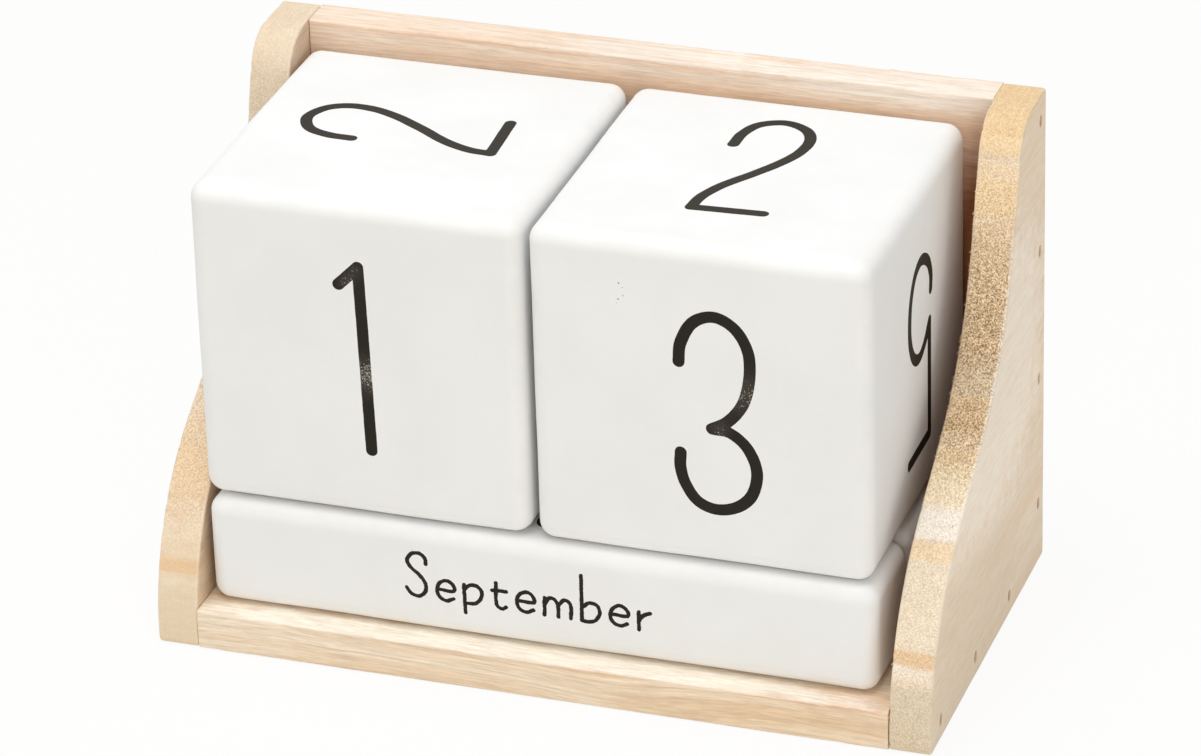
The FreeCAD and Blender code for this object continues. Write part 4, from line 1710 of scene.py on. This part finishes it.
@dataclass
class PaintedBlock:
    """A block of wood with rounded edges, painted white and printed on its faces."""

    node: str
    body: str
    edge_radius: float
    markings: tuple[Marking, ...]
    print_name: str
    seed: int
    paint_room: float = 0.06  # what the block leaves of its full size for the print
    pitch: float = 1.4
    edge_steps: int = 7
    unevenness: float = 0.03
    edge_sway: float = 0.1
    dent_count: int = 7
    dent_width: Point = (0.9, 2.0)  # the least and the most
    dent_depth: Point = (0.08, 0.2)

    def __post_init__(self) -> None:
        """Takes the block's place from the frame and scatters its dents."""
        low, high = box_mm(self.node)
        self.centre = (low + high) / 2
        self.half = (high - low) / 2 - Vector((self.paint_room,) * 3)
        dice = random.Random(self.seed)
        self.dents = []
        for _ in range(self.dent_count):
            spot = Vector([dice.choice((-1, 1)) * half for half in self.half])
            axis = dice.randrange(3)
            spot[axis] *= dice.uniform(-0.9, 0.9)
            self.dents.append((spot, dice.uniform(*self.dent_width), dice.uniform(*self.dent_depth)))

    def across(self, half: float) -> list[float]:
        """Gives the lattice places along one axis, close together in the rounded ends."""
        zone = self.edge_radius * (1 + self.edge_sway)
        flat = half - zone
        angles = [math.pi / 4 * index / self.edge_steps for index in range(self.edge_steps + 1)]
        steps = [zone * math.tan(angle) for angle in angles]
        middle = [place - flat for place in stations(2 * flat, self.pitch)]
        return [-flat - step for step in reversed(steps)] + middle[1:-1] + [flat + step for step in steps]

    def clamped(self, spot: Vector, margin: float) -> Vector:
        """Gives the nearest point that lies at least margin inside the box."""
        pairs = zip(spot, self.half)
        return Vector([min(max(value, margin - half), half - margin) for value, half in pairs])

    def skin(self, spot: Vector, lift: float = 0.0) -> Vector:
        """Puts a point of the plain box on the painted surface.

        Args:
            spot: a point on the box's surface, from the block's middle.
            lift: how far above the paint it stays.

        Returns:
            The point in the stand's frame.
        """
        core = self.clamped(spot, self.edge_radius * (1 + self.edge_sway))
        sway = noise.noise(core * 0.055 + Vector((self.seed, 0, 0)))
        radius = self.edge_radius * (1 + self.edge_sway * sway)
        inner = self.clamped(spot, radius)
        out = (spot - inner).normalized()
        dip = self.unevenness * (1 + noise.noise(spot * 0.07 + Vector((0, self.seed * 3.1, 0))))
        for place, width, depth in self.dents:
            dip += depth * math.exp(-((spot - place).length / width) ** 2)
        return self.centre + inner + out * (radius - dip + lift)

    def build_block(self, material: Material) -> Piece:
        """Makes the painted block."""
        shape = Shape()
        axes = [self.across(half) for half in self.half]
        last = [len(axis) - 1 for axis in axes]
        made: dict[tuple[int, ...], Vertex] = {}

        def vertex(index: tuple[int, ...]) -> Vertex:
            """Gives the point at a lattice place on the surface."""
            if index not in made:
                spot = Vector([axis[step] for axis, step in zip(axes, index)])
                depths = sorted(half - abs(value) for value, half in zip(spot, self.half))
                nearness = max(0.0, 1 - depths[1] / self.edge_radius)
                made[index] = shape.point(self.skin(spot), arris=min(1.0, nearness * 1.3))
            return made[index]

        for axis in range(3):
            first, second = (axis + 1) % 3, (axis + 2) % 3
            for end in (0, last[axis]):
                for i in range(last[first]):
                    for j in range(last[second]):
                        corners = []
                        for di, dj in ((0, 0), (1, 0), (1, 1), (0, 1)):
                            index = [0, 0, 0]
                            index[axis], index[first], index[second] = end, i + di, j + dj
                            corners.append(vertex(tuple(index)))
                        shape.face(corners)
        return shape.finish(self.node + "_painted", self.body, "white_paint", material, self.node)

    def build_print(self, material: Material) -> Piece:
        """Makes the print on all its faces."""
        shape = Shape()
        for marking in self.markings:
            side = marking.side
            reach = side.outward * abs(self.half.dot(side.outward))

            def place(x: float, y: float, lift: float, side: Side = side, reach: Vector = reach) -> Vector:
                """Puts a face's point on the block, lift above the paint."""
                return self.skin(reach + side.rightward * x + side.upward * y, lift)

            lay_marking(shape, marking, place)
        return shape.finish(self.print_name, self.body, "black_print", material)


CUBE_EDGE_RADIUS = 3.2
BAR_EDGE_RADIUS = 3.1


def calendar_blocks() -> list[PaintedBlock]:
    """Gives the two number cubes and the three month bars, as they lie in the stand."""
    # The top faces' prints are paled all over: a painted reflection of the bright sky on them
    top_sky_reflection = (WearAndReflectionSpot(0.0, 0.0, 40.0, 0.3),)
    one_worn = (
        WearAndReflectionSpot(1.8, -2.2, 4.4, 0.66),
        WearAndReflectionSpot(0.4, 17.6, 2.0, 0.45),
        WearAndReflectionSpot(-1.4, 15.2, 1.6, 0.5),
    )
    three_worn = (
        WearAndReflectionSpot(8.4, 3.6, 5.0, 0.56),
        WearAndReflectionSpot(3.6, -3.6, 2.2, 0.5),
        WearAndReflectionSpot(-13.5, 19.4, 3.4, 0.8),
    )
    smudge = tuple(
        (-13.5 + 0.9 * math.sin(index * 2.4), 21.6 - index * 0.75, 0.09 + 0.03 * math.cos(index * 1.7))
        for index in range(7)
    )
    tens = (
        Marking(Side.FRONT, "1", shift=(1.0, 0.8), wear_and_reflection=one_worn),
        Marking(Side.TOP, "2", turns=1, shift=(1.2, 1.5), wear_and_reflection=top_sky_reflection),
        Marking(Side.RIGHT, "7", shift=(0.6, -0.4)),
        Marking(Side.REAR, "0", shift=(-0.5, 0.3)),
        Marking(Side.LEFT, "8", turns=2, shift=(0.4, 0.9)),
        Marking(Side.UNDERSIDE, "6", turns=3, shift=(0.0, -0.6)),
    )
    units = (
        Marking(Side.FRONT, "3", shift=(3.3, -0.7), wear_and_reflection=three_worn, specks=smudge),
        Marking(Side.TOP, "2", shift=(0.5, 2.5), wear_and_reflection=top_sky_reflection),
        Marking(Side.RIGHT, "5", turns=2, shift=(0.0, 1.1)),
        Marking(Side.REAR, "4", turns=3, shift=(0.3, 0.2)),
        Marking(Side.LEFT, "0", turns=1, shift=(-0.2, 0.5)),
        Marking(Side.UNDERSIDE, "1", shift=(0.4, 0.1)),
    )
    blocks = [
        PaintedBlock("tens_cube", "tens_block", CUBE_EDGE_RADIUS, tens, "tens_cube_numerals", seed=4),
        PaintedBlock("units_cube", "units_block", CUBE_EDGE_RADIUS, units, "units_cube_numerals", seed=9),
    ]
    months = (
        ("front", ("September", "October", "November", "December")),
        ("middle", ("January", "February", "March", "April")),
        ("rear", ("May", "June", "July", "August")),
    )
    for index, (row, names) in enumerate(months):
        markings = tuple(
            Marking(side, name, turns=2 if side is Side.REAR else 0, shift=(-1.7, 0.0))
            for side, name in zip((Side.FRONT, Side.TOP, Side.REAR, Side.UNDERSIDE), names)
        )
        node, body = row + "_month_bar", row + "_month_block"
        blocks.append(PaintedBlock(node, body, BAR_EDGE_RADIUS, markings, node + "_names", seed=20 + index))
    return blocks


# ---------------------------------------------------------------------------------------------
# Studio
# ---------------------------------------------------------------------------------------------


@dataclass
class Camera:
    """The camera, high on the right of the stand, with a long lens."""

    place: Triple = (308.98, -870.79, 527.60)
    azimuth: float = 19.511
    elevation: float = 27.634
    roll: float = -1.797
    focal_pixels: float = 5987.7
    frame_width: int = 1201
    sensor_width: float = 36.0

    def build(self) -> None:
        """Adds the camera and makes it the scene's own."""
        azimuth, elevation, roll = (math.radians(a) for a in (self.azimuth, self.elevation, self.roll))
        level = Vector((math.sin(azimuth), -math.cos(azimuth), 0.0))
        back = level * math.cos(elevation) + UPWARD * math.sin(elevation)
        level_right = UPWARD.cross(back).normalized()
        level_up = back.cross(level_right)
        right = math.cos(roll) * level_right + math.sin(roll) * level_up
        up = back.cross(right)
        data = bpy.data.cameras.new("camera")
        data.sensor_width = self.sensor_width
        data.lens = self.focal_pixels * self.sensor_width / self.frame_width
        data.clip_start, data.clip_end = 0.05, 20.0
        camera = bpy.data.objects.new("camera", data)
        bpy.context.scene.collection.objects.link(camera)
        turned = Matrix((right, up, back)).transposed().to_4x4()
        camera.matrix_world = Matrix.Translation(Vector(self.place) * MM) @ turned
        bpy.context.scene.camera = camera


@dataclass(frozen=True)
class Lamp:
    """A square soft lamp that looks at the stand."""

    name: str
    place: Triple
    size: float
    watts: float
    colour: Triple = (1.0, 1.0, 1.0)
    aim: Triple = (0.0, 0.0, 40.0)

    def build(self) -> None:
        """Adds the lamp to the scene."""
        data = bpy.data.lights.new(self.name, "AREA")
        data.shape, data.size, data.energy, data.color = "SQUARE", self.size * MM, self.watts, self.colour
        lamp = bpy.data.objects.new(self.name, data)
        bpy.context.scene.collection.objects.link(lamp)
        lamp.location = Vector(self.place) * MM
        lamp.rotation_euler = (Vector(self.aim) * MM - lamp.location).to_track_quat("-Z", "Y").to_euler()


@dataclass
class Studio:
    """A pale table in a white room, lit softly from above and from the front right."""

    table_size: float = 6000.0
    table_gap: float = 0.05  # keeps the table just clear of the stand's foot
    table_colour: Colour = srgb(238, 236, 231)
    table_whiteness: float = 0.9  # how much of the table the eye sees as plain white
    daylight: float = 0.58
    lamps: tuple[Lamp, ...] = (
        Lamp("key", (-130.0, -95.0, 1090.0), 700.0, 6.0),
        Lamp("fill", (428.0, -841.0, 430.0), 560.0, 1.98, (1.0, 0.93, 0.82)),
    )

    def white_mask(self, recipe: Recipe) -> Socket:
        """Gives 1 for rays from the camera, from gloss and through glass, and 0 for the light itself."""
        rays = recipe.add("ShaderNodeLightPath")
        seen = recipe.math("MAXIMUM", rays.outputs["Is Camera Ray"], rays.outputs["Is Glossy Ray"])
        return recipe.math("MAXIMUM", seen, rays.outputs["Is Transmission Ray"])

    def build_table(self) -> None:
        """Adds the table top: white to the eye, and still showing a soft part of the shadow."""
        half = self.table_size / 2 * MM
        data = bpy.data.meshes.new("table_top")
        corners = [(-half, -half, 0), (half, -half, 0), (half, half, 0), (-half, half, 0)]
        data.from_pydata(corners, [], [(0, 1, 2, 3)])
        table = bpy.data.objects.new("table_top", data)
        bpy.context.scene.collection.objects.link(table)
        table.location.z = -self.table_gap * MM
        material = bpy.data.materials.new("table_white")
        material.use_nodes = True
        material.node_tree.nodes.clear()
        recipe = Recipe(material.node_tree)
        matt = recipe.add("ShaderNodeBsdfDiffuse", {"Color": self.table_colour})
        white = recipe.add("ShaderNodeEmission", {"Color": (1, 1, 1, 1), "Strength": 1.0})
        share = recipe.times(self.white_mask(recipe), self.table_whiteness)
        mixed = recipe.add("ShaderNodeMixShader", {0: share, 1: matt.outputs[0], 2: white.outputs[0]})
        recipe.add("ShaderNodeOutputMaterial", {"Surface": mixed.outputs[0]})
        data.materials.append(material)

    def build_room(self) -> None:
        """Adds the white room, plain as a background and dimmer as a light."""
        world = bpy.data.worlds.new("room")
        world.use_nodes = True
        world.node_tree.nodes.clear()
        recipe = Recipe(world.node_tree)
        inputs = {0: self.white_mask(recipe), 2: self.daylight, 3: 1.0}
        strength = recipe.add("ShaderNodeMix", inputs, data_type="FLOAT").outputs[0]
        sky = recipe.add("ShaderNodeBackground", {"Color": (1, 1, 1, 1), "Strength": strength})
        recipe.add("ShaderNodeOutputWorld", {"Surface": sky.outputs[0]})
        bpy.context.scene.world = world

    def build(self) -> None:
        """Adds the table, the room and the lamps."""
        bpy.context.scene.view_settings.view_transform = "Standard"
        self.build_table()
        self.build_room()
        for lamp in self.lamps:
            lamp.build()


def main() -> None:
    """Builds the stand, the blocks and the studio in order."""
    logging.basicConfig(level=logging.INFO, format="%(name)s: %(message)s")
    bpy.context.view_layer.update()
    effects = Effects()
    Stand(effects).build()
    paint = WhitePaint().material(effects)
    ink = BlackPrint().material(effects)
    for block in calendar_blocks():
        block.build_block(paint)
        block.build_print(ink)
    Studio().build()
    Camera().build()


if __name__ == "__main__":
    main()
